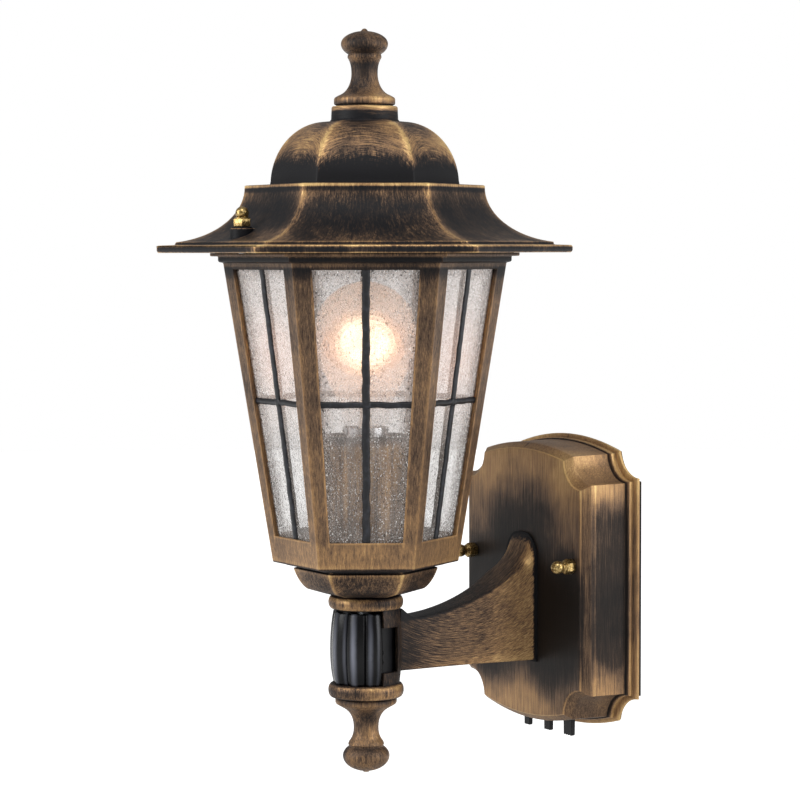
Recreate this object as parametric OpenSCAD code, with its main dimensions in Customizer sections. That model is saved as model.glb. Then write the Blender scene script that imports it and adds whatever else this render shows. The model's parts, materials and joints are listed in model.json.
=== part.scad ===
// Outdoor wall lantern: a six-sided cast cage under a domed roof, on an arm with a
// motion sensor in its barrel. Origin on the wall at the middle of the mounting plate,
// -Y out from the wall, +X to the right as seen from the front, +Z up. Millimetres.

/* [Placing] */
// Distance from the wall to the lantern's axis
lamp_reach = 147; // [140:1:165]

/* [Roof] */
// Corner radius of the brim
brim_r = 120.8; // [116:0.5:126]
// Underside of the brim's edge
brim_bottom = 198.1; // [197.5:0.1:200]
// Height of the brim's edge
brim_edge = 4.2; // [3:0.1:5]
// Corner radius where the flared skirt meets the brim
skirt_foot_r = 109.9; // [106:0.5:112]
// Level of the shelf at the top of the skirt
shelf_z = 236; // [232:1:240]
// Corner radius of that shelf
shelf_r = 69.8; // [66:0.2:72]
// Corner radius of the dome at its foot
dome_r = 54.9; // [50:0.1:58]
// Height of the dome over the shelf
dome_h = 36.6; // [32:0.2:40]
// Wall of the castings
cast_wall = 2.6; // [2:0.1:3]
// Distance from the axis to each roof stud
stud_reach = 80.2; // [80:0.1:81]

/* [Cage] */
// Level of the cage's lower edge
cage_bottom = 19; // [18:0.5:20]
// Level where the sloping sides end
cage_top = 192.2; // [190:0.2:193]
// Corner radius at the lower edge
cage_foot_r = 54.2; // [53:0.1:56]
// Corner radius at the top of the sides
cage_head_r = 82.1; // [80:0.1:83]
// Wall of the cage
cage_wall = 3; // [2.5:0.1:3.5]
// Lower and upper edge of each window
window_low = 34.4; // [32:0.2:38]
window_high = 188.4; // [180:0.2:188.6]
// Half width of a window at its lower and at its upper edge
window_half_low = 20.6; // [18:0.1:21]
window_half_high = 29.8; // [27:0.1:30]
// Thickness of the glass
glass_t = 2.8; // [2:0.1:3]
// Width of the lead came's upright and the height of its crossbar
came_w = 4.6; // [3:0.1:6]
came_h = 3.8; // [3:0.1:5]
// Level of the crossbar
came_z = 112.6; // [90:0.5:130]

/* [Lamp] */
// Radius of the lamp's glass
bulb_r = 30; // [28:0.5:31]
// Top of the lamp
bulb_top = 181.6; // [178:0.2:184]
// Radius and top of the tube round the lampholder
sleeve_r = 23.8; // [22:0.1:26]
sleeve_top = 92.5; // [90:0.5:93]

/* [Arm and sensor] */
// Half width of the arm at the barrel and at its root
arm_half_tip = 9.5; // [8:0.5:11]
arm_half_root = 15; // [13:0.5:16]
// Underside of the arm
arm_bottom = -46; // [-47:0.5:-44]
// Top and bottom of the sensor's barrel
barrel_top = -8.7; // [-9:0.1:-8]
barrel_bottom = -52.5; // [-54:0.1:-52]
// Greatest radius of the lens
lens_r = 21.4; // [20.5:0.1:22]
// Half of the angle that the lens covers
lens_angle = 90; // [80:1:90]

/* [Backplate] */
// Depth from the wall to the front face
plate_depth = 37.3; // [34:0.1:42]
// Half width and half height of the front face
face_half_w = 60; // [58:0.5:62]
face_half_h = 79.8; // [78:0.2:82]
// Half width and half height of the side wall
wall_half_w = 64.3; // [63.5:0.1:66]
wall_half_h = 83.7; // [83:0.1:86]
// Half width and half height of the flange
flange_half_w = 71; // [69:0.5:73]
flange_half_h = 88; // [87:0.5:90]
// Half the distance between the two cap nuts, and their height
nut_x = 53; // [50:0.5:54]
nut_z = 14; // [12:0.5:16]

/* [Mounting] */
// Distance between the two slots for the junction box screws
box_screws = 88.9; // [83:0.1:96]
// Width and end-to-end length of each slot
slot_w = 4.8; // [4.5:0.1:5.5]
slot_length = 12; // [8:1:13]

/* [Switches] */
// Distance between neighbouring knobs
knob_pitch = 22; // [20:0.5:24]
// Travel of each knob to either side
knob_travel = 4; // [2:0.5:4.5]
// Lower end of the knobs
knob_tip = -92.5; // [-95:0.5:-91]

/* [Hidden] */
$fn = 96;

bronze = "#6f5a3e";
dark_bronze = "#4a3e31";
brass = "#c49a3c";
black = "#1c1c1e";
steel = "#a9abad";
white = "#e8e4da";
came_colour = "#26262a";
glass_colour = [0.84, 0.80, 0.77, 0.45];

faces = 6;
face_turn = 60;
flat = cos(30);               // apothem of a hexagon with a corner radius of 1
gap = 0.1;                    // play between parts that touch
stud_r = 2;                   // M4 studs
stud_bore = 2.05;             // thread in the nuts that run on them
clear_r = 2.6;                // clearance hole for them
tube_r = 4.9;                 // M10 threaded tube
tube_clear = 5.2;
cage_slope = (cage_head_r - cage_foot_r) * flat / (cage_top - cage_bottom);
flare = atan(cage_slope);     // outward lean of the cage's faces
pane_margin = 3;              // glass behind the edge of the window
bulb_centre = bulb_top - bulb_r;

// Points along an elliptical arc, and along a cubic curve
function arc(cr, cz, a, b, from, to, steps) =
    [for (i = [0:steps]) let (t = from + (to - from) * i / steps) [cr + a * cos(t), cz + b * sin(t)]];
function curve(p, q, r, s, steps) =
    [for (i = [0:steps]) let (t = i / steps, u = 1 - t)
        u * u * u * p + 3 * u * u * t * q + 3 * u * t * t * r + t * t * t * s];

module on_axis() {
    translate([0, -lamp_reach, 0]) children();
}

// A turned part on the lantern's axis, from its outline of [radius, height]
module turned(outline) {
    on_axis() rotate_extrude() polygon(outline);
}

// A six-sided casting from its outline of [corner radius, height]
module hex_cast(outline) {
    on_axis() rotate_extrude($fn = faces) polygon(outline);
}

// Local frame on the outside of a cage face: X along it, Y up its slope, Z outward
module on_face(index) {
    on_axis() rotate([0, 0, index * face_turn]) translate([0, -cage_foot_r * flat, cage_bottom])
        rotate([90 + flare, 0, 0]) children();
}
function up_slope(z) = (z - cage_bottom) / cos(flare);
function half_at(z) =
    window_half_low + (window_half_high - window_half_low) * (z - window_low) / (window_high - window_low);
module window_outline(grow) {
    low = window_low - grow;
    high = window_high + grow;
    polygon([[-half_at(low) - grow, up_slope(low)], [half_at(low) + grow, up_slope(low)],
             [half_at(high) + grow, up_slope(high)], [-half_at(high) - grow, up_slope(high)]]);
}

// A hexagon nut blank standing on z = 0
module hex_blank(across_corners, height) {
    cylinder(h = height, r = across_corners / 2, $fn = 6);
}

// ---- Roof ----
finial_foot = 283.2;
collar_top = 282.3;

module top_finial() {
    ball_r = 13.6;
    ball_z = 318.3;
    ball_low = 8.3;
    ball_high = 7.4;
    outline = concat(
        [[0, finial_foot], [17.2, finial_foot], [17.7, finial_foot + 0.6], [17.7, 286.4], [17.3, 287.4]],
        curve([14.8, 288.8], [10.4, 290.2], [7.6, 295.5], [7.6, 301.2], 8),
        curve([7.6, 301.6], [7.6, 305.4], [8.3, 308], [9.8, 310.4], 6),
        [[9.8, 311.6], [9.3, 312.2]],
        arc(0, ball_z, ball_r, ball_low, -43, 0, 5),
        arc(0, ball_z, ball_r, ball_high, 8, 80, 8),
        [[2, 325.9], [1.7, 326.9], [0, 327.2]]);
    color(bronze) difference() {
        turned(outline);
        on_axis() translate([0, 0, finial_foot - 1]) cylinder(h = 17, r = stud_bore);
    }
}

module finial_seal() {
    color(black) turned([[3, collar_top], [16.4, collar_top], [16.4, finial_foot], [3, finial_foot]]);
}

module finial_stud() {
    color(steel) turned([[0, 262], [stud_r, 262], [stud_r, 298], [0, 298]]);
}

finial_nut_top = 270.8;
module finial_nut() {
    height = 3.2;
    color(steel) on_axis() translate([0, 0, finial_nut_top - height]) difference() {
        hex_blank(8.1, height);
        translate([0, 0, -1]) cylinder(h = height + 2, r = stud_bore);
    }
}

// Outline of the roof; inset is 0 outside and the wall's thickness inside
function skirt_line(inset) =
    let (centre_r = 118, depth = 32.2)
    [for (t = [80:-8:0])
        [centre_r - (centre_r - shelf_r + inset) * cos(t), shelf_z - (depth + inset) * sin(t)]];
function roof_line(inset) = concat(
    [[0, brim_bottom - inset],
     [brim_r - inset, brim_bottom - inset],
     [brim_r - inset, brim_bottom + brim_edge - inset],
     [skirt_foot_r - 1.6 * inset, brim_bottom + brim_edge + 0.8 - inset]],
    skirt_line(inset),
    arc(22.7, shelf_z + 1 - inset, dome_r - 22.7 - inset, dome_h, 0, 90, 10),
    [[0, shelf_z + 1 + dome_h - inset]]);

module at_roof_studs() {
    for (side = [-1, 1]) translate([0, -lamp_reach + side * stud_reach, 0]) children();
}

ear_bottom = 197.5;
ear_top = 200.6;
ear_half_w = 8;
boss_top = 212;
module roof() {
    rib_r = 87;
    rib_t = 2.4;
    rib_low = 198.2;
    rib_high = 209;
    boss_r = 6.85;
    collar_foot = 270;
    color(bronze) difference() {
        union() {
            difference() {
                union() {
                    hex_cast(roof_line(0));
                    turned([[0, collar_foot], [20.1, collar_foot], [19.1, collar_top], [0, collar_top]]);
                }
                hex_cast(roof_line(cast_wall));
            }
            difference() {
                on_axis() translate([0, 0, rib_low])
                    cylinder(h = rib_high - rib_low, r = rib_r, $fn = faces);
                on_axis() translate([0, 0, rib_low - 1])
                    cylinder(h = rib_high - rib_low + 2, r = rib_r - rib_t, $fn = faces);
            }
            at_roof_studs() translate([0, 0, ear_top + gap]) cylinder(h = boss_top - ear_top - gap, r = boss_r);
        }
        at_roof_studs() translate([0, 0, ear_top - 1]) cylinder(h = 20, r = clear_r);
        translate([-ear_half_w - 0.5, -lamp_reach - rib_r, rib_low - 1])
            cube([2 * ear_half_w + 1, 2 * rib_r, ear_top + gap - rib_low + 1]);
        on_axis() translate([0, 0, collar_foot - 5]) cylinder(h = 20, r = clear_r);
    }
}

seal_t = 0.8;
module roof_nut_seals() {
    color(black) at_roof_studs() translate([0, 0, boss_top]) difference() {
        cylinder(h = seal_t, r = 5.5);
        translate([0, 0, -1]) cylinder(h = 3, r = clear_r);
    }
}

// Domed cap nut standing on z = 0
module cap_nut(across_corners, hex_h, ball_r, height, bore_depth) {
    neck_r = ball_r * 0.86;
    difference() {
        union() {
            hex_blank(across_corners, hex_h);
            rotate_extrude() polygon(concat(
                [[0, hex_h - 1], [neck_r + 0.3, hex_h - 1], [neck_r + 0.3, hex_h + 0.4], [neck_r, hex_h + 0.9]],
                arc(0, height - ball_r, ball_r, ball_r, -28, 90, 10)));
        }
        translate([0, 0, -1]) cylinder(h = bore_depth + 1, r = stud_bore);
    }
}
module roof_nut(side) {
    color(brass) translate([0, -lamp_reach + side * stud_reach, boss_top + seal_t + gap])
        cap_nut(10.7, 4.6, 3.8, 11.4, 8.6);
}
module roof_nut_front() { roof_nut(-1); }
module roof_nut_rear() { roof_nut(1); }

module roof_studs() {
    low = ear_bottom + 0.2;
    color(steel) at_roof_studs() translate([0, 0, low]) cylinder(h = boss_top + 9 - low, r = stud_r);
}

// ---- Cage ----
seat_z = 16.5;                // underside of the cage
floor_z = 22;                 // top of its floor
rim_z = 198;                  // top of its rim
module cage() {
    crown_r = 85.1;
    rim_r = 89.7;
    reach = 60;
    inner_foot = cage_foot_r - (cage_wall / cos(flare) - cage_slope * (floor_z - cage_bottom)) / flat;
    inner_rim = cage_foot_r - (cage_wall / cos(flare) - cage_slope * (rim_z + 1 - cage_bottom)) / flat;
    color(bronze) difference() {
        union() {
            hex_cast([[0, seat_z], [46.2, seat_z], [46.6, seat_z + 0.6], [cage_foot_r - 0.8, cage_bottom - 0.7],
                      [cage_foot_r, cage_bottom], [cage_head_r, cage_top], [crown_r - 1, cage_top + 0.5],
                      [crown_r, cage_top + 1.5], [crown_r, 195.9], [rim_r - 0.5, 196.1], [rim_r, 196.5],
                      [rim_r, rim_z], [0, rim_z]]);
            for (side = [-1, 1]) translate([0, -lamp_reach + side * (stud_reach - 3), ear_bottom]) ear();
        }
        hex_cast([[0, floor_z], [inner_foot, floor_z], [inner_rim, rim_z + 1], [0, rim_z + 1]]);
        for (i = [0:faces - 1]) on_face(i) translate([0, 0, -reach / 6])
            linear_extrude(reach) window_outline(0);
        on_axis() translate([0, 0, seat_z - 1]) cylinder(h = 10, r = tube_clear);
        at_roof_studs() translate([0, 0, 190]) cylinder(h = 20, r = stud_bore);
    }
}
module ear() {
    half_w = ear_half_w;
    half_l = 10;
    translate([-half_w, -half_l, 0]) cube([2 * half_w, 2 * half_l, ear_top - ear_bottom]);
}

// The pane lies against the inside of the wall
pane_back = -cage_wall - gap - glass_t;
module glass_pane(index) {
    color(glass_colour) on_face(index) translate([0, 0, pane_back])
        linear_extrude(glass_t) window_outline(pane_margin);
}
module glass_pane_1() { glass_pane(0); }
module glass_pane_2() { glass_pane(1); }
module glass_pane_3() { glass_pane(2); }
module glass_pane_4() { glass_pane(3); }
module glass_pane_5() { glass_pane(4); }
module glass_pane_6() { glass_pane(5); }

// Lead strips on the outside of the glass, with a solder joint where they cross
module lead_came(index) {
    depth = 1.7;
    solder_r = 3.4;
    low = up_slope(window_low) + gap;
    high = up_slope(window_high) - gap;
    bar = up_slope(came_z);
    half = half_at(came_z) - 4 * gap;
    color(came_colour) on_face(index) translate([0, 0, -cage_wall - gap]) {
        translate([-came_w / 2, low, 0]) cube([came_w, high - low, depth]);
        translate([-half, bar - came_h / 2, 0]) cube([2 * half, came_h, depth]);
        translate([0, bar, 0]) cylinder(h = depth + 0.4, r = solder_r, $fn = 24);
    }
}
module lead_came_1() { lead_came(0); }
module lead_came_2() { lead_came(1); }
module lead_came_3() { lead_came(2); }
module lead_came_4() { lead_came(3); }
module lead_came_5() { lead_came(4); }
module lead_came_6() { lead_came(5); }

// Spring clips that hold each pane from behind at its lower and upper edge
module pane_clips() {
    half_w = 5;
    foot = 3;
    lip = 4;
    leaf_t = 0.8;
    low = up_slope(window_low - pane_margin) - gap;
    high = up_slope(window_high + pane_margin) + gap;
    color(steel) for (i = [0:faces - 1]) on_face(i) {
        clip(low, -1, half_w, foot, lip, leaf_t);
        clip(high, 1, half_w, foot, lip, leaf_t);
    }
}
module clip(edge, away, half_w, foot, lip, leaf_t) {
    back = pane_back - gap - leaf_t;
    translate([-half_w, away > 0 ? edge : edge - foot, back])
        cube([2 * half_w, foot, -cage_wall - back]);
    translate([-half_w, away > 0 ? edge - lip : edge - 0.01, back]) cube([2 * half_w, lip + 0.01, leaf_t]);
}

module base_cup() {
    wall = 3;
    side = curve([34.3, 2.6], [37.6, 4.6], [40.6, 9.5], [42.3, 14.6], 6);
    outer = concat([[0, -0.4], [23.5, -0.4]], side, [[42, 15], [40.6, 15.2], [40.6, seat_z - gap], [0, seat_z - gap]]);
    inner = concat([[0, 3], [26, 3]], [for (p = side) [p[0] - wall / flat, p[1] + 1.2]],
                   [[37, seat_z + 1], [0, seat_z + 1]]);
    color(bronze) difference() {
        hex_cast(outer);
        hex_cast(inner);
        on_axis() translate([0, 0, -5]) cylinder(h = 20, r = tube_clear);
    }
}

// ---- Lamp ----
module socket_sleeve() {
    wall = 1.2;
    foot = floor_z + gap;
    color(dark_bronze) turned([[tube_clear, foot], [sleeve_r, foot], [sleeve_r, sleeve_top],
        [sleeve_r - wall, sleeve_top], [sleeve_r - wall, foot + wall], [tube_clear, foot + wall]]);
}

holder_foot = 54;
holder_top = 91;
cup_floor = 66;
shell_r = 13.28;              // inside of the screw shell
module lampholder() {
    outer_r = 19.5;
    cup_r = 14.3;
    thread_top = 60;
    color(white) turned([[tube_r + gap / 2, holder_foot], [outer_r - 1.5, holder_foot],
        [outer_r, holder_foot + 1.5], [outer_r, holder_top - 1], [outer_r - 1, holder_top],
        [cup_r, holder_top], [cup_r, cup_floor], [3.2, cup_floor], [3.2, thread_top],
        [tube_r + gap / 2, thread_top]]);
}
module screw_shell() {
    color(brass) turned([[shell_r, 69], [13.9, 69], [13.9, 90], [shell_r, 90]]);
}
module centre_contact() {
    color(brass) turned([[0, cup_floor + gap], [8, cup_floor + gap], [8, cup_floor + 0.8],
        [3.4, cup_floor + 0.8], [2.6, 70.4], [0, 70.4]]);
}

base_top = 97;
module bulb_base() {
    shell_out = 13.2;
    shell_in = 12.3;
    color(steel) turned([[0, 70.6], [4, 70.6], [4.8, 71.6], [5.2, 72.8], [9.6, 75.6], [shell_out, 77],
        [shell_out, base_top], [shell_in, base_top], [shell_in, 79], [0, 79]]);
}
function bulb_line(inset) = concat(
    [[12.1 - inset, 80], [12.1 - inset, base_top]],
    curve([13.5 - inset, base_top + 1.6], [14.5 - inset, 119], [bulb_r - inset, 129],
          [bulb_r - inset, bulb_centre - 1], 12),
    arc(0, bulb_centre, bulb_r - inset, bulb_r - inset, 0, 90, 16));
module bulb_glass() {
    skin = 0.8;
    inside = bulb_line(skin);
    color([1, 0.93, 0.84, 0.6])
        turned(concat(bulb_line(0), [for (i = [len(inside) - 1:-1:0]) inside[i]]));
}
stem_top = 124;
module bulb_stem() {
    color([0.9, 0.9, 0.9, 0.5])
        turned([[0, 79.2], [9, 79.2], [9, 82], [5, 90], [3.2, 104], [2.2, 118],
                [2.6, stem_top], [0, stem_top]]);
}
// Two support wires and a coiled filament bowed between their ends
module bulb_filament() {
    wire_r = 0.35;
    coil_r = 0.9;
    half = 14;
    rise = 22;
    color("gold") on_axis() translate([0, 0, stem_top + 0.25]) {
        for (side = [-1, 1]) rotate([0, side * atan(half / rise), 0])
            cylinder(h = norm([half, rise]), r = wire_r, $fn = 24);
        translate([-half, 0, rise]) rotate([0, 90, 0]) cylinder(h = 2 * half, r = coil_r, $fn = 24);
    }
}

// ---- Stem, barrel and arm ----
module threaded_tube() {
    bore = 3.6;
    low = -72;
    high = 59.5;
    color(steel) turned([[bore, low], [tube_r, low], [tube_r, high], [bore, high]]);
}
module tube_nut() {
    height = 4;
    color(steel) on_axis() translate([0, 0, floor_z + 1.5]) difference() {
        union() {
            cylinder(h = 1.2, r = 11);
            hex_blank(16, height + 1.2);
        }
        translate([0, 0, -1]) cylinder(h = 10, r = tube_r + gap / 2);
    }
}

// Turned ring with a rounded edge
module bead_ring(low, high, r) {
    mid = (low + high) / 2;
    half = (high - low) / 2;
    turned(concat([[tube_clear, low], [r - half - 1, low]],
                  arc(r - half * 0.8, mid, half * 0.8, half, -80, 80, 12),
                  [[r - half - 1, high], [tube_clear, high]]));
}
module neck_ring() {
    color(bronze) bead_ring(barrel_top + gap / 2, -1.2, 21.9);
}
module lower_ring() {
    color(bronze) bead_ring(-60.5, barrel_bottom - gap / 2, 22.1);
}

module bottom_finial() {
    outline = concat(
        [[0, -105.2], [1.8, -105.1], [2.2, -104.4]],
        arc(0, -95.5, 13.7, 9, -78, 0, 8),
        arc(0, -95.5, 13.7, 8.4, 10, 42, 4),
        [[10.2, -89.2], [10.6, -88.6]],
        curve([10, -87], [8.3, -85], [7.3, -82.5], [7.3, -79], 6),
        curve([7.3, -78.6], [7.4, -73], [9.4, -69], [14.3, -66.6], 8),
        [[17.4, -64.8], [18, -63.9], [18, -62], [17.6, -61.3], [14, -61.2], [14, -60.6], [0, -60.6]]);
    color(bronze) difference() {
        turned(outline);
        on_axis() translate([0, 0, -73]) cylinder(h = 20, r = tube_r + gap / 2);
    }
}

// The arm: a beam on the back half of the sensor's barrel
root_y = -plate_depth - 1.2;
barrel_face = -lamp_reach + 18;
duct_low = -34;
duct_high = -16;
duct_half = 5;
arm_screw_z = [-40.5, 4];
module arm_beam() {
    side = concat([[root_y, arm_bottom], [barrel_face, arm_bottom], [barrel_face, -9.5], [-127, -9.6],
                   [-123, -13.6]], curve([-118, -15], [-93.8, -15], [-45.5, -1], [root_y, 28.8], 16));
    edge = curve([arm_half_tip, -104], [arm_half_tip + 0.4, -80], [arm_half_root - 3, -58],
                 [arm_half_root, root_y], 10);
    plan = concat([[arm_half_tip, barrel_face]], edge);
    intersection() {
        rotate([90, 0, 90]) linear_extrude(2 * arm_half_root + 2, center = true) polygon(side);
        translate([0, 0, arm_bottom - 1]) linear_extrude(90)
            polygon(concat(plan, [for (i = [len(plan) - 1:-1:0]) [-plan[i][0], plan[i][1]]]));
    }
}
module arm_head() {
    end_t = 2.8;
    inner_r = 18.2;
    disc_r = 17.3;
    outer = curve([19.6, barrel_bottom], [21.4, -40], [21.4, -22], [19.6, barrel_top], 8);
    difference() {
        turned(concat(outer, [[inner_r, barrel_top], [inner_r, barrel_bottom]]));
        translate([-lens_r - 1, -lamp_reach - 2 * lens_r, barrel_bottom - 1])
            cube([2 * lens_r + 2, 2 * lens_r + gap, 60]);
    }
    for (low = [barrel_bottom, barrel_top - end_t]) {
        on_axis() translate([0, 0, low]) cylinder(h = end_t, r = disc_r);
        on_axis() translate([0, 0, low]) difference() {
            cylinder(h = end_t, r = 19);
            translate([-20, -20 - gap, -1]) cube([40, 20 + 2 * gap, end_t + 2]);
        }
    }
}
module arm() {
    window_low_z = -45;
    window_high_z = -18.5;
    window_depth = 11.4;
    color(bronze) difference() {
        union() {
            arm_head();
            difference() {
                arm_beam();
                on_axis() translate([0, 0, barrel_bottom]) cylinder(h = 60, r = 18.2);
            }
        }
        translate([-30, -lamp_reach - 1, window_low_z])
            cube([60, window_depth + 1, window_high_z - window_low_z]);
        on_axis() translate([0, 0, barrel_bottom - 1]) cylinder(h = 60, r = tube_clear);
        translate([-duct_half, barrel_face - 2, duct_low])
            cube([2 * duct_half, root_y - barrel_face + 3, duct_high - duct_low]);
        for (z = arm_screw_z) translate([0, root_y + 1, z]) rotate([90, 0, 0]) cylinder(h = 17, r = stud_bore);
    }
}

module arm_gasket() {
    border = 1.2;
    half_w = arm_half_root + border;
    top = 30;
    color(black) translate([0, -plate_depth - gap / 2, 0]) rotate([90, 0, 0])
        linear_extrude(-root_y - plate_depth - gap) difference() {
            translate([-half_w, arm_bottom - border]) square([2 * half_w, top - arm_bottom + border]);
            translate([-duct_half, duct_low]) square([2 * duct_half, duct_high - duct_low]);
            for (z = arm_screw_z) translate([0, z]) circle(clear_r);
        }
}
module arm_screws() {
    head_y = -plate_depth + front_wall;
    color(steel) for (z = arm_screw_z) translate([0, head_y, z]) rotate([90, 0, 0]) {
        translate([0, 0, -1]) cylinder(h = 18, r = stud_r);
        translate([0, 0, -3]) cylinder(h = 3, r = 4);
    }
}

// Fluted lens: a thin band with raised lobes, divided at these azimuths
lobe_edges = [-lens_angle, -58.2, -24.7, 24.7, 58.2, lens_angle];
lens_t = 1.5;
flute = 0.8;
function lens_line(inset) =
    [for (p = curve([19.3, -52.2], [22.4, -42], [21.6, -20], [19.2, -10.2], 10)) [p[0] - inset, p[1]]];
module lens_band(outside, inside, from, to) {
    back = lens_line(inside);
    on_axis() rotate([0, 0, from - 90]) rotate_extrude(angle = to - from)
        polygon(concat(lens_line(outside), [for (i = [len(back) - 1:-1:0]) back[i]]));
}
module sensor_lens() {
    groove = 0.8;
    last = len(lobe_edges) - 1;
    color(black) {
        for (i = [0:last - 1])
            lens_band(0, lens_t, lobe_edges[i] + groove, lobe_edges[i + 1] - groove);
        for (i = [0:last])
            lens_band(flute, lens_t, max(lobe_edges[i] - groove, -lens_angle),
                      min(lobe_edges[i] + groove, lens_angle));
    }
}

board_y = -lamp_reach - 9.1;
module sensor_core() {
    core_r = 17;
    low = -49.4;
    high = -11.8;
    pocket_low = -46;
    pocket_high = -15;
    color(black) difference() {
        on_axis() translate([0, 0, low]) cylinder(h = high - low, r = core_r);
        on_axis() translate([0, 0, low - 1]) cylinder(h = high - low + 2, r = tube_clear);
        translate([-15, board_y - 15, pocket_low]) cube([30, 15, pocket_high - pocket_low]);
    }
}
module sensor_board() {
    board_t = 1.2;
    color("darkgreen") translate([-12, board_y - gap - board_t, -45]) cube([24, board_t, 29]);
}
module pyro_sensor() {
    color(steel) translate([0, board_y - 1.4, -26]) rotate([90, 0, 0]) cylinder(h = 4.2, r = 4.1);
}
module photocell() {
    color("indianred") translate([0, board_y - 1.4, -39]) rotate([90, 0, 0]) cylinder(h = 2, r = 2.5);
}

// ---- Backplate ----
front_wall = 4.3;
side_wall = 3;
bevel = 4.8;
gasket_t = 1.5;
flange_t = 7.6;
step_half_w = 67.6;
step_half_h = 85.4;
step_t = 3.8;
cavity_half_w = wall_half_w - side_wall;
cavity_half_h = wall_half_h - side_wall;
cavity_cove = 21.3;

// Outline with bowed ends and a hollow corner at each end of the sides
module plate_outline(half_w, half_h, cove_r) {
    bow_r = 184;
    corner_drop = 3.5;
    difference() {
        intersection() {
            square([2 * half_w, 3 * half_h], center = true);
            translate([0, half_h - bow_r]) circle(bow_r, $fn = 360);
            translate([0, bow_r - half_h]) circle(bow_r, $fn = 360);
        }
        for (x = [-1, 1], z = [-1, 1]) translate([x * half_w, z * (half_h - corner_drop)]) circle(cove_r);
    }
}
// Lays a flat shape against the wall, with its back at the given distance from it
module off_wall(distance) {
    translate([0, -distance, 0]) rotate([90, 0, 0]) children();
}

knob_y = -18;
slot_play = 0.4;
knob_t = 3.2;
knob_half = [2.8, 3.2, 4.3];
function knob_x(index) = (index - 1) * knob_pitch;
module knob_slots(low, high) {
    for (i = [0:2]) {
        half = knob_half[i] + knob_travel + slot_play;
        translate([knob_x(i) - half, knob_y - knob_t / 2 - slot_play, low])
            cube([2 * half, knob_t + 2 * slot_play, high - low]);
    }
}

module backplate() {
    color(bronze) difference() {
        union() {
            off_wall(gasket_t) linear_extrude(step_t - gasket_t)
                plate_outline(flange_half_w, flange_half_h, 19);
            off_wall(step_t) linear_extrude(flange_t - step_t)
                plate_outline(step_half_w, step_half_h, 18.6);
            off_wall(flange_t) linear_extrude(plate_depth - bevel - flange_t)
                plate_outline(wall_half_w, wall_half_h, 18.3);
            off_wall(plate_depth - bevel)
                linear_extrude(bevel, slices = 1, scale = [face_half_w / wall_half_w, face_half_h / wall_half_h])
                plate_outline(wall_half_w, wall_half_h, 18.3);
        }
        off_wall(0) linear_extrude(plate_depth - front_wall)
            plate_outline(cavity_half_w, cavity_half_h, cavity_cove);
        for (x = [-nut_x, nut_x]) translate([x, 0, nut_z]) rotate([90, 0, 0]) cylinder(h = 50, r = clear_r);
        for (z = arm_screw_z) translate([0, 0, z]) rotate([90, 0, 0]) cylinder(h = 50, r = clear_r);
        translate([-duct_half, -plate_depth - 1, duct_low])
            cube([2 * duct_half, front_wall + 2, duct_high - duct_low]);
        knob_slots(-95, -70);
    }
}
module wall_gasket() {
    inset = 1;
    color(black) off_wall(0) linear_extrude(gasket_t - gap / 2) difference() {
        plate_outline(flange_half_w - inset, flange_half_h - inset, 20);
        plate_outline(cavity_half_w, cavity_half_h, cavity_cove);
    }
}

mount_t = 2;
module mounting_plate() {
    half_w = 59;
    low = -13;
    high = 31;
    wire_r = 8;
    wire_z = 20.5;
    color(steel) off_wall(0) linear_extrude(mount_t) difference() {
        translate([-half_w, low]) square([2 * half_w, high - low]);
        for (x = [-box_screws / 2, box_screws / 2]) translate([x, 0]) slot();
        for (x = [-nut_x, nut_x]) translate([x, nut_z]) circle(stud_bore);
        translate([0, wire_z]) circle(wire_r);
        translate([ground_x, ground_z]) circle(ground_r + gap / 2);
    }
}
module slot() {
    middle = slot_length - slot_w;
    square([middle, slot_w], center = true);
    for (x = [-middle / 2, middle / 2]) translate([x, 0]) circle(slot_w / 2);
}
module at_nuts() {
    for (x = [-nut_x, nut_x]) translate([x, 0, nut_z]) rotate([90, 0, 0]) children();
}
module mounting_studs() {
    color(steel) at_nuts() translate([0, 0, 0.2]) cylinder(h = plate_depth + 8, r = stud_r);
}
module stud_nuts() {
    color(steel) at_nuts() translate([0, 0, mount_t + gap]) difference() {
        hex_blank(8.1, 3.2);
        translate([0, 0, -1]) cylinder(h = 6, r = stud_bore);
    }
}
module plate_cap_nuts() {
    color(brass) at_nuts() translate([0, 0, plate_depth + gap / 2]) cap_nut(9, 6, 3.9, 14.6, 10);
}

ground_x = 20;
ground_z = 20;
ground_r = 1.8;
module ground_screw() {
    color("seagreen") translate([ground_x, 0, ground_z]) rotate([90, 0, 0]) {
        translate([0, 0, 0.3]) cylinder(h = 6, r = ground_r);
        translate([0, 0, 5]) cylinder(h = 2.2, r = 3.6, $fn = 6);
    }
}

// ---- Controls ----
pcb_y = -12;
pcb_t = 1.6;
pcb_front = pcb_y - pcb_t - gap;
post_x = 31;
post_z = [-60, -38];
module control_board() {
    half_w = 36;
    low = -76;
    high = -32;
    color("darkgreen") difference() {
        translate([-half_w, pcb_y - pcb_t, low]) cube([2 * half_w, pcb_t, high - low]);
        for (x = [-post_x, post_x], z = post_z) translate([x, pcb_y + 1, z]) rotate([90, 0, 0])
            cylinder(h = 5, r = 1.7);
    }
}
module board_pillars() {
    color(black) for (x = [-post_x, post_x], z = post_z) translate([x, -plate_depth + front_wall + gap / 2, z])
        rotate([-90, 0, 0]) {
            length = plate_depth - front_wall + pcb_front;
            cylinder(h = length, r = 2.8);
            cylinder(h = length + 3, r = 1.6);
            translate([0, 0, length + pcb_t + 2 * gap]) cylinder(h = 1.4, r = 2.4);
        }
}
module relay() {
    color("royalblue") translate([-22, pcb_front - 15, -53]) cube([19, 15, 15.5]);
}
module capacitor() {
    color("darkorange") translate([14, pcb_front, -46]) rotate([90, 0, 0]) cylinder(h = 14, r = 6.5);
}
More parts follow.
